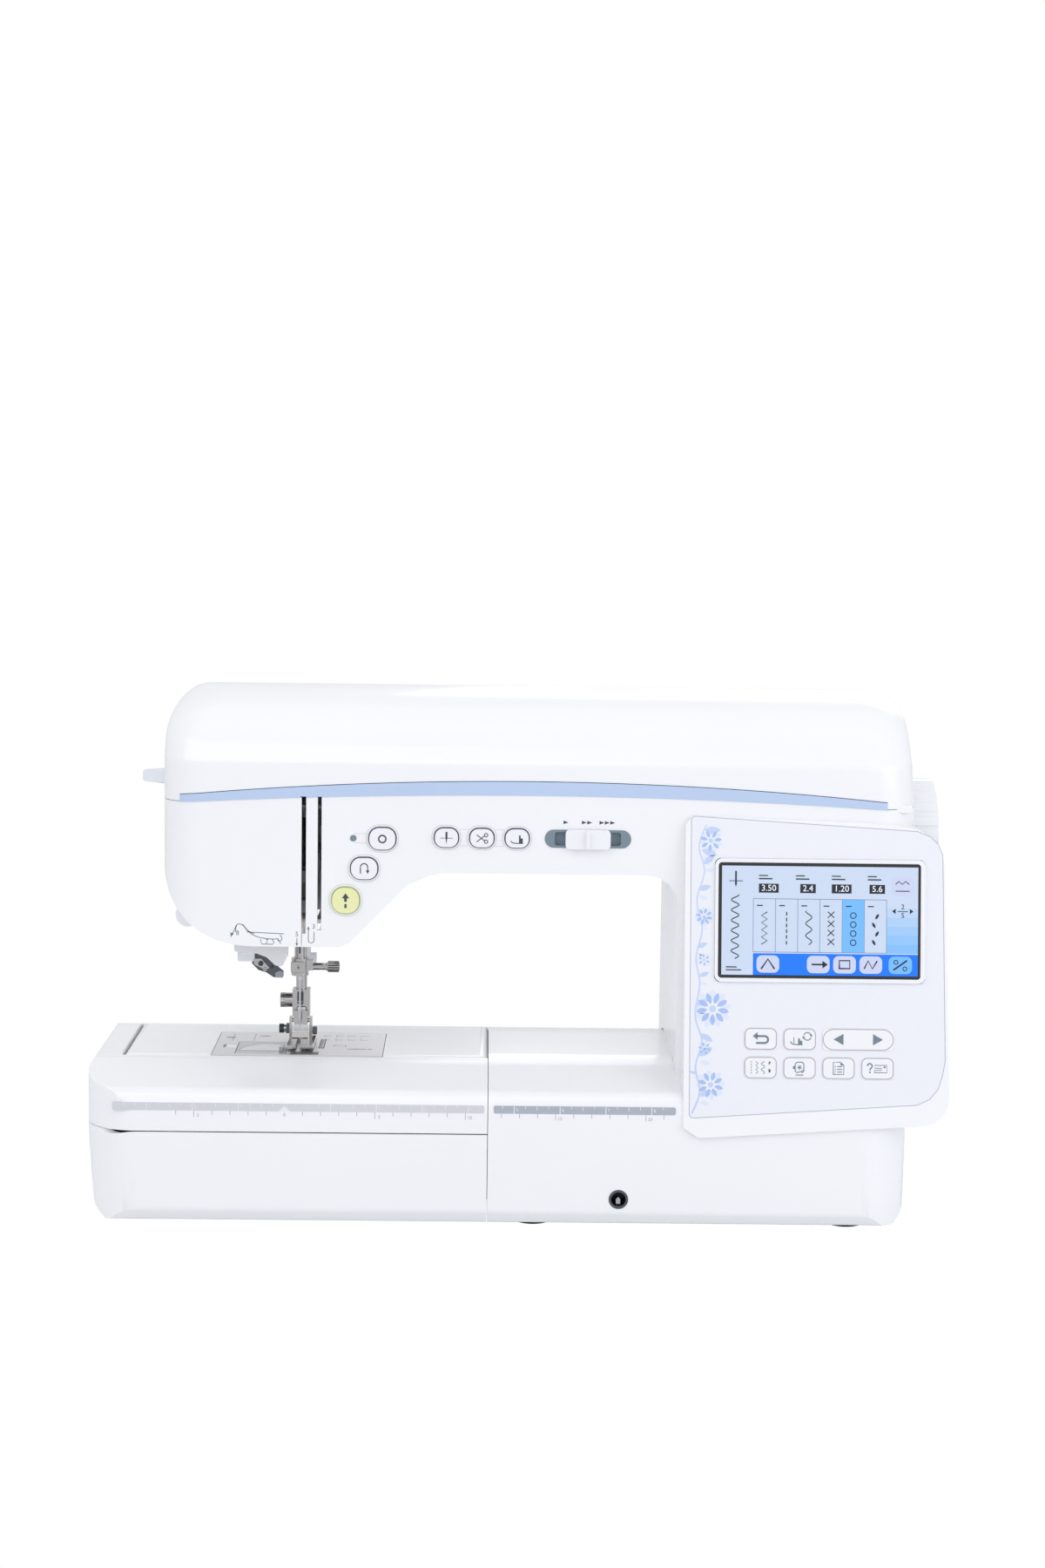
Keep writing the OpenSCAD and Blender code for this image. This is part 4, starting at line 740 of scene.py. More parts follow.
def smooth_line(points, steps=6):
    """A curve through the points."""
    out = []
    for i in range(len(points) - 1):
        p0, p1 = points[max(0, i - 1)], points[i]
        p2, p3 = points[i + 1], points[min(len(points) - 1, i + 2)]
        for k in range(steps):
            t = k / steps
            out.append(tuple(0.5 * (2 * b + (c - a) * t + (2 * a - 5 * b + 4 * c - d) * t * t
                                    + (3 * b - a - 3 * c + d) * t ** 3)
                             for a, b, c, d in zip(p0, p1, p2, p3)))
    return out + [tuple(points[-1])]


def leaf(u, v, length, width, turn):
    """A pointed leaf from its stem end, turned in degrees."""
    a = math.radians(turn)
    side = [(length * t, width / 2 * math.sin(math.pi * t) ** 0.8) for t in [i / 8 for i in range(9)]]
    loop = side + [(x, -y) for x, y in side[-2:0:-1]]
    return [(u + x * math.cos(a) - y * math.sin(a), v + x * math.sin(a) + y * math.cos(a)) for x, y in loop]


def tapered(points, start, end):
    """A line that narrows from one width to another."""
    n = len(points) - 1
    left, right = [], []
    for i, (u, v) in enumerate(points):
        before, after = points[max(0, i - 1)], points[min(n, i + 1)]
        du, dv = after[0] - before[0], after[1] - before[1]
        size = math.hypot(du, dv) or 1
        w = (start + (end - start) * i / n) / 2
        left.append((u - dv / size * w, v + du / size * w))
        right.append((u + dv / size * w, v - du / size * w))
    return left + right[::-1]


def add_panel_print():
    """Film over the panel, its edge line, and a daisy vine down its left side."""
    holes = [round_rect(*grown(box, 0.05), 3) for box in KEYS.values()]
    holes.append(round_rect(108.9, 84.9, 226.1, 153.6, 3))
    sheet_with_holes("panel_film", PANEL, FILM_EDGE, holes, "film_white")
    verts, faces = join_loops([([PANEL.at(u, v, 0.1) for u, v in line],
                                [PANEL.at(u, v, -0.1) for u, v in line])
                               for line in (stroke(FILM_EDGE[i:i + 2], 0.36) if i < len(FILM_EDGE) - 1
                                            else stroke([FILM_EDGE[-1], FILM_EDGE[0]], 0.36)
                                            for i in range(len(FILM_EDGE)))])
    add_piece("panel_film_edge", verts, faces, "film_line")
    vine = smooth_line([(97.2, 12), (101.5, 24), (99, 38), (102.5, 52), (98.6, 66), (101, 84), (98.8, 98),
                        (102, 114), (99, 130), (103, 146), (100, 160), (104, 172)])
    light, mid, pale = [], [], []
    plates("vine_stem", PANEL, [tapered(vine, 1.1, 0.6)], "vine_light", high=0.095, low=0.0)
    for u, v, turn, size in ((101, 22, 20, 8), (99.5, 34, 160, 4), (100.5, 44, 30, 9), (101.5, 56, 330, 8),
                             (99, 72, 25, 7), (100.5, 88, 20, 6), (99, 104, 20, 6.5), (101.5, 118, 35, 5),
                             (99.5, 136, 15, 7.5), (102.5, 150, 40, 8), (101.5, 158, 340, 9),
                             (103, 169, 0, 9)):
        light.append(leaf(u, v, size, size * 0.42, turn))
        pale.append(leaf(u + 0.6, v - 3.4, size * 0.7, size * 0.3, turn - 38))
    for cu, cv, r, petals in ((108.2, 70, 9.6, 9), (103, 121, 5, 8), (107.4, 28, 7.6, 8),
                              (106.4, 163, 6.4, 7),
                             (103.2, 97, 3.6, 6), (104, 48, 3.8, 6)):
        for k in range(petals):
            a = 360 * k / petals + cv
            for outlines, turn, reach, long, wide in ((pale, a + 180 / petals, 0.55, 0.58, 0.36),
                                                      (mid, a, 0.3, 0.66, 0.3)):
                step = Vector((math.cos(math.radians(turn)), math.sin(math.radians(turn)))) * reach * r
                outlines.append(leaf(cu + step.x, cv + step.y, r * long, r * wide, turn))
        light.append(disc(cu, cv, r * 0.2, 14))
    plates("vine_pale", PANEL, pale, "vine_pale", high=0.085, low=0.0)
    plates("vine_light", PANEL, light, "vine_light", high=0.11, low=0.0)
    plates("vine_mid", PANEL, mid, "vine_mid", high=0.13, low=0.0)


add_panel_print()


def icon(name, body, centre, shapes, mat="slate_ink_and_slit_shade", plane=PANEL, face=KEY_FACE):
    """Printed symbol on a key: shapes are outlines around its centre."""
    cu, cv = centre
    plates(name, plane, [[(cu + u, cv + v) for u, v in shape] for shape in shapes], mat, body,
           low=face - 0.08, high=face + 0.07)


def centre_of(box):
    return (box[0] + box[2]) / 2, (box[1] + box[3]) / 2


def ring(cu, cv, r, width, steps=24):
    """A circle as two half strokes."""
    return [stroke(arc(cu, cv, r, 0, 180, steps // 2), width),
            stroke(arc(cu, cv, r, 180, 360, steps // 2), width)]


def add_key_prints():
    for name, box in KEYS.items():
        radius = 5.9 if name == "page_rocker" else 3
        ring_frames(name + "_line", PANEL, [round_rect(*grown(box, -0.15), radius)], 0.36, "ink_mauve", name,
                    low=KEY_FACE - 0.06, high=KEY_FACE + 0.05)
    icon("back_mark", "back_key", centre_of(KEYS["back_key"]),
         [stroke([(-2.2, 1.5), (2.2, 1.5)] + arc(2.2, -0.4, 1.9, 90, -90, 8) + [(-2.6, -2.3)], 1.15),
          [(-1.8, 3.7), (-4.4, 1.5), (-1.8, -0.6)]])
    sole = stroke([(-5.2, -1.4), (-4.2, -2.6), (-2, -3), (1.6, -3)], 0.6)
    icon("foot_change_mark", "width_key", centre_of(KEYS["width_key"]),
         [sole, rect(-3.4, -2.2, -3, 1), rect(-0.9, -2.9, 0.2, 0.4), rect(0.2, -2.9, 1.4, -0.8),
          stroke(arc(4.2, 1.6, 2.1, 20, 160), 0.55), stroke(arc(4.2, 1.6, 2.1, 200, 340), 0.55),
          [(6.7, 3.0), (6.9, 1.2), (5.4, 2.2)], [(1.7, 0.2), (1.5, 2), (3, 1)]])
    u0, v0 = centre_of(KEYS["page_rocker"])
    for side in (-1, 1):
        icon("page_mark_left" if side < 0 else "page_mark_right", "page_rocker", (u0 + side * 10.8, v0),
             [[(side * 2.9, 0.1), (-side * 2.6, 3.2), (-side * 2.6, -3)]])
    zigzag = stroke([(-2.6 + 1.3 * (i % 2), -3.4 + 1.13 * i) for i in range(7)], 0.36)
    wave = stroke([(1.4 + 1.0 * math.sin(i * 0.9), -3.4 + 0.45 * i) for i in range(16)], 0.36)
    dashes = [rect(-5.3, -3.3 + 1.5 * i, -4.9, -2.5 + 1.5 * i) for i in range(5)]
    icon("stitch_mark", "stitch_key", centre_of(KEYS["stitch_key"]),
         [zigzag, wave] + dashes + [leaf(4.6, -2.8 + 2.2 * i, 2.2, 1.1,
                                         70 - 140 * (i % 2)) for i in range(3)])
    icon("hoop_mark", "hoop_key", centre_of(KEYS["hoop_key"]),
         [stroke(round_rect(-2.4, -2.6, 2.4, 3.2, 1.4, 4) + [(2.4, -1.2)], 0.5), rect(-3.6, -0.6, -2.6, 1.0),
          stroke([(-2.2, -3.9), (2.2, -3.9)], 0.5)]
         + [leaf(0, 0.3, 1.5, 0.6, 45 + 72 * i) for i in range(5)])
    icon("list_mark", "list_key", centre_of(KEYS["list_key"]),
         [stroke([(-2.9, -3.4), (2.9, -3.4), (2.9, 1.7), (1.1, 3.4), (-2.9, 3.4), (-2.9, -3.6)], 0.45),
          [(1.1, 3.4), (1.1, 1.6), (2.9, 1.6)]]
         + [rect(-0.8, -2.3 + 1.5 * i, 2.0, -1.8 + 1.5 * i) for i in range(3)]
         + [rect(-2.1, -2.3 + 1.5 * i, -1.5, -1.8 + 1.5 * i) for i in range(3)])
    icon("help_mark", "help_key", centre_of(KEYS["help_key"]),
         [stroke(arc(-4.3, 1.5, 1.3, 180, -50, 10) + [(-4.2, -0.5), (-4.2, -0.9)], 0.75),
          disc(-4.2, -2, 0.5, 10),
          stroke([(-1.6, -2.2), (-1.6, -0.9), (2.2, -0.9), (2.2, 0.3), (-1.4, 0.3), (-1.6, 1.9), (5.2, 1.9),
                  (5.2, -2.2), (-1.8, -2.2)], 0.42), disc(3.9, 0.9, 0.6, 10)])


add_key_prints()


def add_screen():
    """Screen with a made-up stitch page: values on the left, stitches in columns, a bar of buttons."""
    u0, v0, u1, v1 = SCREEN
    wide = u1 - u0
    base, step = 0.62, 0.05
    plates("screen_mask", PANEL, [round_rect(*LCD, 1.2)], "screen_black", high=base - 0.07, low=0.2)
    plates("screen_ground", PANEL, [rect(u0, v0, u1, v1)], "screen_pale", high=base, low=0.3)

    def on_screen(name, outlines, mat, layer):
        plates(name, PANEL, [[(u0 + x, v0 + y) for x, y in line] for line in outlines], mat,
               high=base + step * layer, low=base - 0.1)

    side = 17.5
    bands = 6
    for i in range(bands):
        on_screen(f"screen_shade_{i}", [rect(wide - side, 12.5 + i * 5, wide, 17.5 + i * 5)],
                  f"screen_shade_{i}", 1)
    on_screen("screen_bar", [rect(side, 0, wide, 12)], "screen_blue", 1)
    column = (wide - 2 * side) / 6
    lines = [rect(side, 12.6, wide - side, 12.9), rect(side, 42.1, wide - side, 42.4)]
    lines += [rect(side + column * i - 0.12, 12.6, side + column * i + 0.12, 42.4) for i in range(7)]
    on_screen("screen_pick", [rect(side + 4 * column, 12.9, side + 5 * column, 42.2)], "screen_sky", 2)
    on_screen("screen_lines", lines, "screen_grey", 3)
    boxes = [(20.5, 11), (43.5, 8.6), (61, 11), (82, 8.6)]
    on_screen("screen_boxes", [rect(x, 45.6, x + w, 50.6) for x, w in boxes], "screen_ink", 2)
    holder = Plane(PANEL.at(u0, v0), PANEL_LEAN)
    digits("screen_values", holder, [("3.50", 26, 48.1), ("2.4", 47.8, 48.1), ("1.20", 66.5, 48.1),
                                     ("5.6", 86.3, 48.1)],
           4.9, "screen_white", high=base + 4 * step, low=base)
    ink = []
    for i in range(6):
        c = side + column * (i + 0.5)
        if i == 0:
            ink += [stroke([(c - 1.6 + 3.2 * (k % 2), 17 + 2 * k) for k in range(10)], 0.5)]
        elif i == 1:
            ink += [rect(c - 0.3, 17 + 3.2 * k, c + 0.3, 19 + 3.2 * k) for k in range(6)]
        elif i == 2:
            ink += [stroke([(c + 1.7 * math.sin(k * 0.7), 17 + 0.75 * k) for k in range(26)], 0.5)]
        elif i == 3:
            ink += [part for k in range(4) for part in (stroke([(c - 1.8, 17 + 5 * k),
                                                                (c + 1.8, 20.4 + 5 * k)], 0.5),
                                                        stroke([(c + 1.8, 17 + 5 * k),
                                                                (c - 1.8, 20.4 + 5 * k)], 0.5))]
        elif i == 4:
            ink += [part for k in range(4) for part in ring(c, 18.4 + 5 * k, 1.6, 0.5, 12)]
        else:
            ink += [leaf(c, 17 + 4.8 * k, 3.6, 1.4, 60 if k % 2 else 120) for k in range(4)]
        ink.append(rect(c - 4.2, 38.2, c - 1, 38.8))
    ink += [rect(x, 53, x + 7.5, 53.7) for x in (20.5, 41, 61, 81)]
    ink += [rect(x, 54.8, x + 5, 55.4) for x in (20.5, 41, 61, 81)]
    ink += [stroke([(7.4 + 2.2 * math.sin(k * 0.8), 9 + 0.72 * k) for k in range(50)], 0.55)]
    ink += [stroke([(4, 52), (11.5, 52)], 0.4), stroke([(7.7, 57.5), (7.7, 50.5)], 0.9),
            [(7.1, 50.8), (8.3, 50.8), (7.7, 48.6)], rect(2.5, 2.4, 11, 3), rect(2.5, 4, 8.5, 4.6)]
    ink += [[(wide - 14.5, 36), (wide - 12.5, 37.4), (wide - 12.5, 34.6)],
            [(wide - 2.6, 36), (wide - 4.6, 37.4), (wide - 4.6, 34.6)],
            rect(wide - 11.3, 35.7, wide - 5.7, 36.1)]
    on_screen("screen_marks", ink, "screen_ink", 4)
    digits("screen_page", holder, [("2", wide - 8.5, 38.4), ("5", wide - 8.5, 33.6)], 3.8, "screen_ink",
           high=base + 5 * step, low=base)
    buttons = [round_rect(x, 1.3, x + 12.6, 10.9, 3) for x in (side + 2, side + 30, side + 44.6, side + 59.2)]
    buttons.append(round_rect(wide - 14.6, 44.5, wide - 2.6, 54.8, 2))
    on_screen("screen_buttons", buttons, "screen_lilac", 2)
    on_screen("screen_button_blue", [round_rect(side + 75.4, 1.3, side + 88.4, 10.9, 3)], "screen_sky", 2)
    marks = [stroke([(side + 4.6, 3.4), (side + 8.3, 8.8), (side + 12, 3.4)], 0.9),
             stroke([(side + 32.6, 6.1), (side + 39.8, 6.1)], 0.9),
             [(side + 38.6, 8.2), (side + 38.6, 4), (side + 41.6, 6.1)],
             stroke([(side + 48, 4), (side + 48, 8.4), (side + 53.8, 8.4), (side + 53.8, 4),
                     (side + 47.6, 4)], 0.8),
             stroke([(side + 61.8, 4), (side + 64, 8.4), (side + 66.4, 4), (side + 69, 8.4)], 0.8),
             stroke([(side + 78, 3.4), (side + 85.6, 8.8)], 0.9)] + ring(side + 79.4, 7.8, 1.1, 0.5, 12) \
        + ring(side + 84.4, 4.2, 1.1, 0.5, 12) \
        + [stroke([(wide - 12.6, 51 - 0.0), (wide - 10.8, 52.6), (wide - 8.9, 51), (wide - 7, 52.6),
                   (wide - 5, 51)], 0.5),
           stroke([(wide - 12.6, 47.2), (wide - 4.8, 47.2)], 0.5)]
    on_screen("screen_button_marks", marks, "screen_ink", 4)


add_screen()


# ---------------------------------------------------------------- buttons and marks on the front

FRONT = Plane((0, ARM_FRONT, 0))
BUTTONS = {
    "start_key": (-96.2, 180.2, 15, 14.2), "reverse_key": (-86, 198.2, 14.5, 11.7),
    "tack_key": (-76, 215, 14.4, 11.9), "needle_key": (-40.4, 216, 12.8, 10.3),
    "cutter_key": (-20.7, 216, 12.9, 10.1), "foot_key": (-1.1, 216, 12.8, 10.1),
}
BUTTON_FACE = 2.2
SPEED_SLOT = (38.3, 216, 46, 8)


def box_at(u, v, w, h, grow=0.0):
    return u - w / 2 - grow, v - h / 2 - grow, u + w / 2 + grow, v + h / 2 + grow


def add_button_prints():
    """Painted shade of the gap round each button as a dark line, light lines that group them, and the
    symbols.
    """
    for name, (u, v, w, h) in BUTTONS.items():
        # The groove ring is painted shade of the gap between button and cover; round the start key this
        # painted shade is yellowish.
        mat = "gap_shade_grey" if name != "start_key" else "lens_gap_shade"
        ring_frames(name + "_groove", FRONT, [round_rect(*box_at(u, v, w, h, 0.75), h * 0.45 + 0.75, 10)],
                    0.55, mat, high=0.09)
        ring_frames(name + "_halo", FRONT, [round_rect(*box_at(u, v, w, h, 1.9), h * 0.45 + 1.9, 10)], 0.3,
                    "faint_line", high=0.07)
    lines = [stroke([(-33.2, z), (-28, z)], 0.28) for z in (220.6, 211.4)]
    lines += [stroke([(-13.5, z), (-8.3, z)], 0.28) for z in (220.6, 211.4)]
    lines += [stroke([(-91.6, z), (-84.6, z)], 0.28) for z in (217.6, 212.4)]
    plates("button_group_lines", FRONT, lines, "faint_line", high=0.07)

    def mark(name, body, shapes, centre=None):
        u, v = centre or BUTTONS[body][:2]
        icon(name, body, (u, v), shapes, "dark_ink_and_slot_shade", FRONT, BUTTON_FACE)

    mark("start_mark", "start_key", [[(0, 4.2), (-2.0, 1.3), (2.0, 1.3)], rect(-0.75, -0.6, 0.75, 1.4),
                                     rect(-0.6, -4.2, 0.6, -1.9)])
    mark("reverse_mark", "reverse_key", [stroke(arc(0, 0.9, 2.0, 0, 180), 0.6), rect(-2.3, -2.6, -1.7, 0.7),
                                         rect(1.75, -1.4, 2.25, 0.9),
                                         [(1.0, -0.9), (3.0, -0.9), (2.0, -2.9)]])
    mark("tack_mark", "tack_key", ring(0, 0, 2.0, 0.85))
    mark("needle_mark", "needle_key", [rect(-3.4, -0.25, 3.4, 0.05), rect(-0.55, -0.1, 0.55, 3.4),
                                       [(-0.5, -0.1), (0, -3.4), (0.5, -0.1)]])
    mark("cutter_mark", "cutter_key", [stroke([(-2.9, 2), (1.6, -1.5)], 0.5),
                                       stroke([(-2.9, -2), (1.6, 1.5)], 0.5)]
         + ring(2.3, 1.8, 0.95, 0.5, 16) + ring(2.3, -1.8, 0.95, 0.5, 16))
    mark("foot_mark", "foot_key", [stroke([(-3.6, -1.3), (-2.6, -2.3), (-1, -2.6), (3.4, -2.6)], 0.5),
                                   rect(1.0, -2.4, 1.9, 1.8), rect(1.9, -2.4, 3.1, 0.2)])
    lamp = [disc(-92.2, 215, 1.8, 24)]
    plates("status_lamp", FRONT, lamp, "groove_grey", high=0.35, low=-0.3, bevel=0.1)
    speeds = []
    for first, count in ((24.6, 1), (34.8, 2), (44.6, 3)):
        speeds += [[(first + 3.0 * i, 226.2), (first + 3.0 * i, 224.2), (first + 3.0 * i + 2.7, 225.2)]
                   for i in range(count)]
    plates("speed_marks", FRONT, speeds, "dark_ink_and_slot_shade", high=0.08)


add_button_prints()


def add_slot_tray():
    """Shallow grey dish behind the speed slider, with a rounded floor."""
    u, v, w, h = SPEED_SLOT
    rings = ((h / 2 + 1.9, 0.1), (h / 2 + 1.5, 0.14), (h / 2 + 1.35, -0.15), (h / 2 + 1.1, -0.35))
    half = w / 2 - 4
    verts, faces = [], []
    loops = []
    for r, depth in rings:
        loop = round_rect(u - half - r, v - r, u + half + r, v + r, r - 0.01, 8)
        loops.append(len(verts))
        verts += [FRONT.at(x, z, depth) for x, z in loop]
    n = len(verts) // len(rings)
    for a, b in zip(loops, loops[1:]):
        faces += [[a + i, a + (i + 1) % n, b + (i + 1) % n, b + i] for i in range(n)]
    add_piece("speed_slot_rim", verts, faces, "cover_white")
    outer = round_rect(u - half - rings[-1][0], v - rings[-1][0], u + half + rings[-1][0], v + rings[-1][0],
                       rings[-1][0] - 0.01, 8)
    sheet_with_holes("speed_slot_face", FRONT, outer, [round_rect(u - 18.4, v - 3.8, u + 18.4, v + 3.8, 1.5)],
                     "groove_grey", high=0.12, low=-0.4)
    plates("speed_slot_shutter", FRONT, [rect(u - 28.6, v - 5.4, u + 28.6, v + 5.4)], "groove_deep", "speed",
           high=-5.05, low=-5.35)


add_slot_tray()


def add_thread_guide_print():
    """Thread path printed on the face cover, with its plain step numbers."""
    line = 0.42
    path = [stroke(smooth_line([(-157.6, 161.5), (-156.6, 165.8), (-153.4, 165.4), (-150.6, 162.4),
                                (-147, 160.6)]), line),
            stroke([(-157, 165.4), (-159.3, 160.2)], line),
            [(-160.4, 161.3), (-158.5, 160.6), (-160.1, 158.6)],
            stroke(smooth_line([(-153.6, 166), (-150, 161.6), (-144.8, 158.8), (-137.6, 157.8),
                                (-133.6, 158)]), line),
            stroke([(-151.2, 161.6), (-130.6, 160.8)], line),
            stroke([(-143.6, 157.6), (-142.9, 154.9), (-136.8, 154.8), (-136, 155.8), (-137.2, 158)], line),
            stroke([(-134, 158), (-132.2, 155.2)], line),
            stroke(arc(-133, 158.2, 1.4, -140, 70) + [(-132.4, 160.4)], line),
            stroke([(-123.3, 158.4), (-123.3, 155.4)], line),
            [(-124.1, 155.6), (-122.5, 155.6), (-123.3, 153.8)],
            stroke([(-116.9, 163.6), (-116.9, 157.6)] + arc(-115.3, 157.4, 1.6, 180, 360,
                                                            8) + [(-113.7, 162)], line),
            [(-117.7, 163.4), (-116.1, 163.4), (-116.9, 165.2)]]
    plates("thread_path", FRONT, path, "slate_ink_and_slit_shade", high=0.07, low=-0.6)
    digits("thread_numbers", FRONT, [("8", -156.4, 161), ("7", -140, 156.3), ("5", -123.3, 160.6),
                                     ("3", -113.9, 165)],
           3.7, "slate_ink_and_slit_shade", high=0.07)


add_thread_guide_print()


# ---------------------------------------------------------------- ruler on the bed

BED_FRONT = Plane((0, BED_NEAR, 0))
CM_ZERO = -128.1
CM = 10.0


def add_ruler():
    """Silver band along the front of the bed with inch and centimetre marks."""
    low, high = 65.6, 69.9
    notch = [(CM_ZERO - 3.3, low), (CM_ZERO + 3.3, low), (CM_ZERO, high - 1.2)]
    plates("ruler_left", BED_FRONT, [round_rect(-223.2, low, -17.7, high, 0.9, 3)], "ruler_silver",
           "flat_bed",
           high=0.06, low=-3)
    plates("ruler_zero", BED_FRONT, [notch], "film_white", "flat_bed", high=0.1)
    plates("ruler_right", BED_FRONT, [round_rect(-12.4, low, 88.4, high, 0.9, 3)], "ruler_grey", high=0.06,
           low=-3)
    for body, side, start, end in (("flat_bed", "left", -222, -18.5), ("root", "right", -12.2, 87)):
        inches, cms, numbers = [], [], []
        for k in range(-16, 37):
            u = CM_ZERO + 25.4 * k / 4
            if not start < u < end or not k:
                continue
            if k % 4:
                inches.append(rect(u - 0.16, high - (1.5 if k % 2 else 2.4), u + 0.16, high))
            else:
                inches.append(rect(u - 0.22, low, u + 0.22, high))
                numbers.append((str(abs(k) // 4), u + 1.6, 67.8))
        plates("ruler_inches_" + side, BED_FRONT, inches, "film_white", body, high=0.1)
        digits("ruler_inch_numbers_" + side, BED_FRONT, numbers, 2.7, "film_white", body, high=0.1)
        for k in range(-6, 22):
            u = CM_ZERO + CM * k
            if start < u < end and k:
                cms.append(rect(u - 0.18, low - (3.6 if k % 5 == 0 else 2.3), u + 0.18, low))
        plates("ruler_cms_" + side, BED_FRONT, cms, "ruler_ink", body, high=0.06)
        numbers = [(str(abs(k)), CM_ZERO + CM * k + 2.4, 63) for k in (-5, 5, 10, 15, 20)
                   if start < CM_ZERO + CM * k < end]
        digits("ruler_cm_numbers_" + side, BED_FRONT, numbers, 2.7, "ruler_ink", body, high=0.06)
    digits("ruler_zero_number", BED_FRONT, [("0", CM_ZERO, 63.7)], 2.9, "ruler_ink", "flat_bed", high=0.06)


add_ruler()


# ---------------------------------------------------------------- needle area

NEEDLE = (-125, -43)
CLAMP_Z = 134
PIN = (-32.9, 99.5)
THREADER = (-152, -52)


def slab(name, outline, low, high, mat, body="root", bevel=0.0, axis="y"):
    """Solid piece from an outline swept along an axis."""
    obj = prism(name, outline, axis, low, high)
    obj.data.materials.append(MATS[mat])
    soften(obj, bevel)
    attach(obj, body)
    return obj


def wheel(cy, cz, r, teeth=0, depth=0.25):
    """Round outline in the y-z plane, knurled when it has teeth."""
    count = teeth * 4 or 32
    return [(cy + (r - depth * (k % 4 > 1)) * math.cos(math.tau * k / count) if teeth
             else cy + r * math.cos(math.tau * k / count),
             cz + (r - depth * (k % 4 > 1)) * math.sin(math.tau * k / count) if teeth
             else cz + r * math.sin(math.tau * k / count)) for k in range(count)]


def add_threader_head():
    """Pale guard of the needle threader with its hook mechanism on the guide rod."""
    x, y = THREADER
    guard = fillet([(-162, 151.6), (-162, 143.4), (-149, 142.4), (-143.4, 140.4), (-138.4, 135.6),
                    (-134.2, 135.2),
                    (-131.6, 140.5), (-130.8, 151.6)], [1, 1.5, 4, 4, 2, 2, 3, 1])
    head = slab("threader_guard", guard, y - 5, y + 4.4, "cover_white", "threader", 0.8)
    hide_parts("threader_head")
    rod = [(x + 2 * math.cos(math.tau * k / 20), y + 2 * math.sin(math.tau * k / 20)) for k in range(20)]
    slab("threader_rod", rod, 151, 204, "nickel", "threader", axis="z")
    block = fillet([(-160, 137.8), (-150.2, 137.8), (-150.2, 143), (-160, 143)], [0.8] * 4)
    slab("threader_foot", block, y - 4, y + 3, "film_white", "threader", 0.3)
    arm = fillet([(-151.6, 142), (-145, 142), (-141, 139), (-136.4, 133.8), (-133.8, 131.6), (-134.4, 128.6),
                  (-139.4, 128.5), (-143.4, 131.2), (-148, 132.6), (-151.8, 136.4)], [0.8] * 10)
    slab("threader_arm", arm, y - 3.2, y + 1, "dark_steel", "threader", 0.3)
    slab("threader_link", fillet([(-150.6, 139.6), (-146.4, 139.6), (-141.6, 134.4), (-143.6, 132.6),
                                  (-150.6, 136.2)],
                                 [0.7] * 5), y - 4.4, y - 3, "nickel", "threader", 0.2)
    slab("threader_hook", fillet([(-138.2, 128.5), (-133.9, 128.5), (-133.9, 131.8), (-136, 132.6),
                                  (-138.6, 131.2)],
                                 [0.5] * 5), y - 4, y + 2, "grey_plastic", "threader", 0.2)
    for cx, cz, r, mat in ((-146.6, 136.8, 1.5, "screw_black"), (-144.2, 133.4, 1.2, "nickel"),
                           (-140.2, 134.8, 0.8, "screw_black")):
        slab("threader_screw", disc(cx, cz, r, 16), y - 5, y - 4.2, mat, "threader", 0.15)
        # Each screw slot is a thin dark plate: painted shade in the slot.
        slab("threader_screw_slot", rect(cx - r * 0.8, cz - 0.16, cx + r * 0.8, cz + 0.16), y - 5.06, y - 4.9,
             "dark_ink_and_slot_shade", "threader")


add_threader_head()


def add_clamp_details():
    """Pad with its step number, sleeve and knurled black head of the needle clamp screw."""
    x, y = NEEDLE
    z = CLAMP_Z - 1
    pad = fillet([(x - 5, z - 3), (x + 3.4, z - 3), (x + 3.4, z + 3.6), (x - 5, z + 3.6)], [0.9] * 4)
    slab("clamp_pad", pad, y - 5.6, y - 4, "nickel", "needle_bar", 0.3)
    digits("clamp_number", Plane((0, y - 5.6, 0)), [("6", x - 0.6, z + 0.3)], 3.4, "dark_ink_and_slot_shade", "needle_bar",
           high=0.06)
    slab("clamp_sleeve", wheel(y, z, 2.05), x + 3.4, x + 16, "nickel", "needle_bar", 0.2, "x")
    slab("clamp_collar", wheel(y, z, 2.4), x + 15, x + 16.2, "nickel", "needle_bar", 0.2, "x")
    slab("clamp_head", wheel(y, z, 3.25, 14), x + 16.2, x + 22.5, "screw_black", "needle_bar", 0.3, "x")
    slab("clamp_head_end", wheel(y, z, 2.2), x + 22.4, x + 22.9, "nickel", "needle_bar", 0.15, "x")
    bar = Plane((0, y - 3.2, 0))
    # The slot in the needle bar is a thin dark plate: painted shade in the slot.
    plates("needle_bar_slot", bar, [rect(x - 0.5, 141, x + 0.5, 152)], "dark_ink_and_slot_shade", "needle_bar", low=-0.4,
           high=0.05)


add_clamp_details()


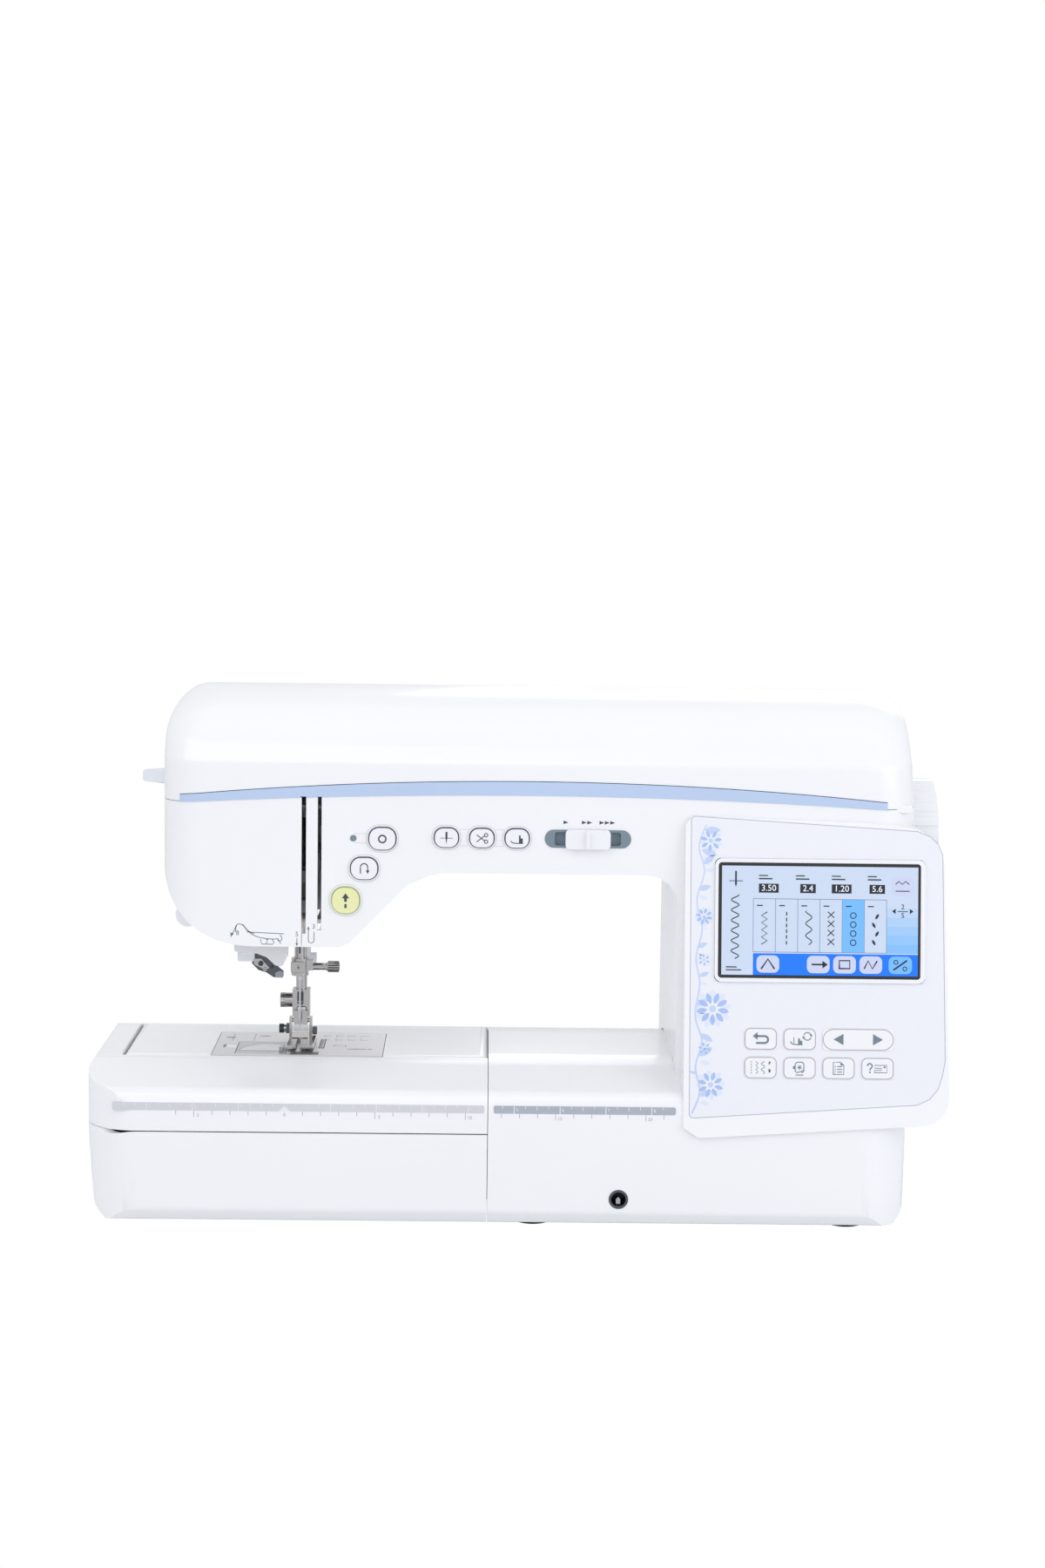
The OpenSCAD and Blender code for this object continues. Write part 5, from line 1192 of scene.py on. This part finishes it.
def add_foot_details():
    """Painted shade in the slot of the shank, a painted highlight in its window, the black release button and
    the dark side pieces of the foot.
    """
    x = NEEDLE[0]
    py, pz = PIN
    front = Plane((0, -33.5, 0))
    # The shank slot is a thin dark plate: painted shade in the slot.
    plates("shank_slot", front, [round_rect(x - 2.2, 109, x + 1.4, 116.4, 0.6)], "dark_ink_and_slot_shade", "presser",
           high=0.05)
    plates("shank_ledge", front, [rect(x - 2.0, 110.2, x + 1.2, 110.7)], "nickel", "presser", high=0.12)
    # The window is filled by a bright steel plate: a painted highlight for the light seen through the open
    # window.
    plates("shank_window", front, [round_rect(x - 2.4, 102.2, x + 3.0, 107.6, 0.7)], "bright_steel_and_window_glint",
           "presser", high=0.2)
    ring_frames("shank_window_edge", front, [round_rect(x - 2.4, 102.2, x + 3.0, 107.6, 0.7)], 0.4,
                "dark_ink_and_slot_shade",
                "presser", high=0.24)
    slab("shank_screw_rim", wheel(-28.5, 110.5, 4.35, 12), x - 12.2, x - 9.2, "nickel", "presser", 0.25, "x")
    slab("foot_button", wheel(py, pz - 5, 2.7, 10), x - 12.6, x - 9.8, "screw_black", "foot", 0.3, "x")
    slab("foot_side", fillet([(py - 2.9, 92), (py + 2.9, 92), (py + 2.4, 97.4), (py - 2.4, 97.4)], [0.8] * 4),
         x - 8.6, x - 6.7, "dark_steel", "foot", 0.3, "x")
    slab("foot_wing", fillet([(py - 2.6, 91.4), (py + 2.6, 91.4), (py + 2.2, 95.6), (py - 2.2, 95.6)],
                             [0.8] * 4),
         x + 6.8, x + 9.4, "dark_steel", "foot", 0.3, "x")
    slab("foot_bridge", fillet([(x - 4.6, 93.4), (x + 4.8, 93.4), (x + 4.2, 97.8), (x - 4.2, 97.8)],
                               [0.8] * 4),
         py - 2.4, py - 1.7, "bright_steel_and_window_glint", "foot", 0.3)
    sole = Plane((0, 0, 90.7), flat=True)
    marks = [rect(x - 5.2, -52 - 3 * k, x - 4.2, -51.6 - 3 * k) for k in range(3)]
    marks += [rect(x + 7, -52 - 3 * k, x + 8, -51.6 - 3 * k) for k in range(3)]
    plates("foot_marks", sole, marks, "dark_ink_and_slot_shade", "foot", high=0.05)


add_foot_details()


def add_plate_marks():
    """Seam lines, bobbin path and dashed corner marks on the needle plate."""
    top = Plane((0, 0, 87.5), flat=True)
    lines = [stroke([(-164.6, -16.4), (-164.6, -36)], 0.35), stroke([(-152.3, -16.4), (-152.2, -36)], 0.35)]
    oval = [(u * 0.9 - 13, v) for u, v in disc(-148.3, -22, 3.6, 20, 0.25)]
    lines += [stroke([(-112 + 7.2 * k, -19.6 - s * 12), (-107.6 + 7.2 * k, -19.6 - s * 12)], 0.3)
              for k in range(4) for s in (0, 1)]
    lines += [stroke([(-112 + 7.2 * k, -19.6), (-112 + 7.2 * k, -22.6)], 0.3) for k in range(4)]
    lines += [stroke([(-112 + 7.2 * k, -28.6), (-112 + 7.2 * k, -31.6)], 0.3) for k in range(4)]
    lines += [stroke([(-96.5, -57), (-86, -57)], 1.3), stroke([(-85, -57), (-82.6, -57)], 1.5)]
    lines += [stroke([(-106, -47), (-98, -47)], 0.3), stroke([(-98, -47), (-98, -51)], 0.3)]
    plates("plate_marks", top, lines, "plate_grey", high=0.05)
    plates("plate_latch_mark", top, [disc(-166, -27, 2.8, 20, 0.35)], "dark_ink_and_slot_shade", high=0.05)
    plates("plate_oval", top, [oval], "plate_grey", high=0.05)
    # A dark steel rectangle on the needle plate, in front of the bobbin window.
    plates("plate_dark_patch", top, [rect(-128.5, -73.4, -112.5, -66.2)], "dark_steel", high=0.06)
    cover = [(-158.8, -64)] + smooth_line([(-158.8, -64), (-156, -55), (-150, -48), (-143.5, -45),
                                           (-137, -46),
                                           (-133.4, -50)]) + [(-133.4, -64)]
    plates("bobbin_window", top, [cover], "clear_smoke", "cover", high=0.08)
    plates("bobbin_window_edge", top, [stroke(cover + [cover[0]], 0.4)], "plate_grey", "cover", high=0.1)


add_plate_marks()


def add_socket_and_tab():
    ring_frames("knee_socket_rim", BED_FRONT, [disc(57.4, 17.7, 5.4, 32)], 1.3, "dark_steel", high=0.25)
    slab("knee_socket_floor", disc(57.4, 17.7, 5.3, 32), -104, -102.5, "dark_steel")
    slab("knee_socket_key", fillet([(56, 12.8), (58.8, 12.8), (58.8, 17), (57.4, 18.4), (56, 17)], [0.5] * 5),
         -119, -104, "nickel", bevel=0.3)
    tab = fillet([(210, 231.8), (219.6, 231.8), (219.6, 236.2), (210, 236.2)], [1.8] * 4)
    slab("lid_end_tab", tab, -93.4, -84, "cover_white", bevel=0.8)


add_socket_and_tab()


def add_threader_knob():
    """Tapered knob of the threader lever: the CAD piece trimmed to a soft wedge."""
    knob = bpy.data.objects.new("threader_knob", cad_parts["threader_lever"].data.copy())
    bpy.context.scene.collection.objects.link(knob)
    weld = knob.modifiers.new("weld", "WELD")
    weld.merge_threshold = MERGE_DISTANCE
    wedge = fillet([(-214.5, 240.8), (-200, 239.4), (-170, 225), (-170, 260), (-200, 248), (-214.5, 246.9)],
                   [1.6, 0, 0, 0, 0, 1.6])
    combine(knob, prism("knob_wedge", wedge, "y", -60, -40), "INTERSECT")
    plan = fillet([(-214.5, -53), (-200.6, -54.5), (-170, -70), (-170, -30), (-200.6, -45.5), (-214.5, -47)],
                  [2, 0, 0, 0, 0, 2])
    combine(knob, prism("knob_plan", plan, "z", 220, 262), "INTERSECT")
    repaint(knob, "lever_tint", 0.5)
    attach(knob, "threader_lever")
    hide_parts("threader_lever")
    # The slit is a thin dark slab: painted shade in the slit.
    slit = fillet([(-201.2, 239.9), (-200.5, 239.9), (-200.5, 247.6), (-201.2, 247.6)], [0.1] * 4)
    slab("threader_knob_slit", slit, -54.6, -45.4, "slate_ink_and_slit_shade", "threader_lever")


add_threader_knob()
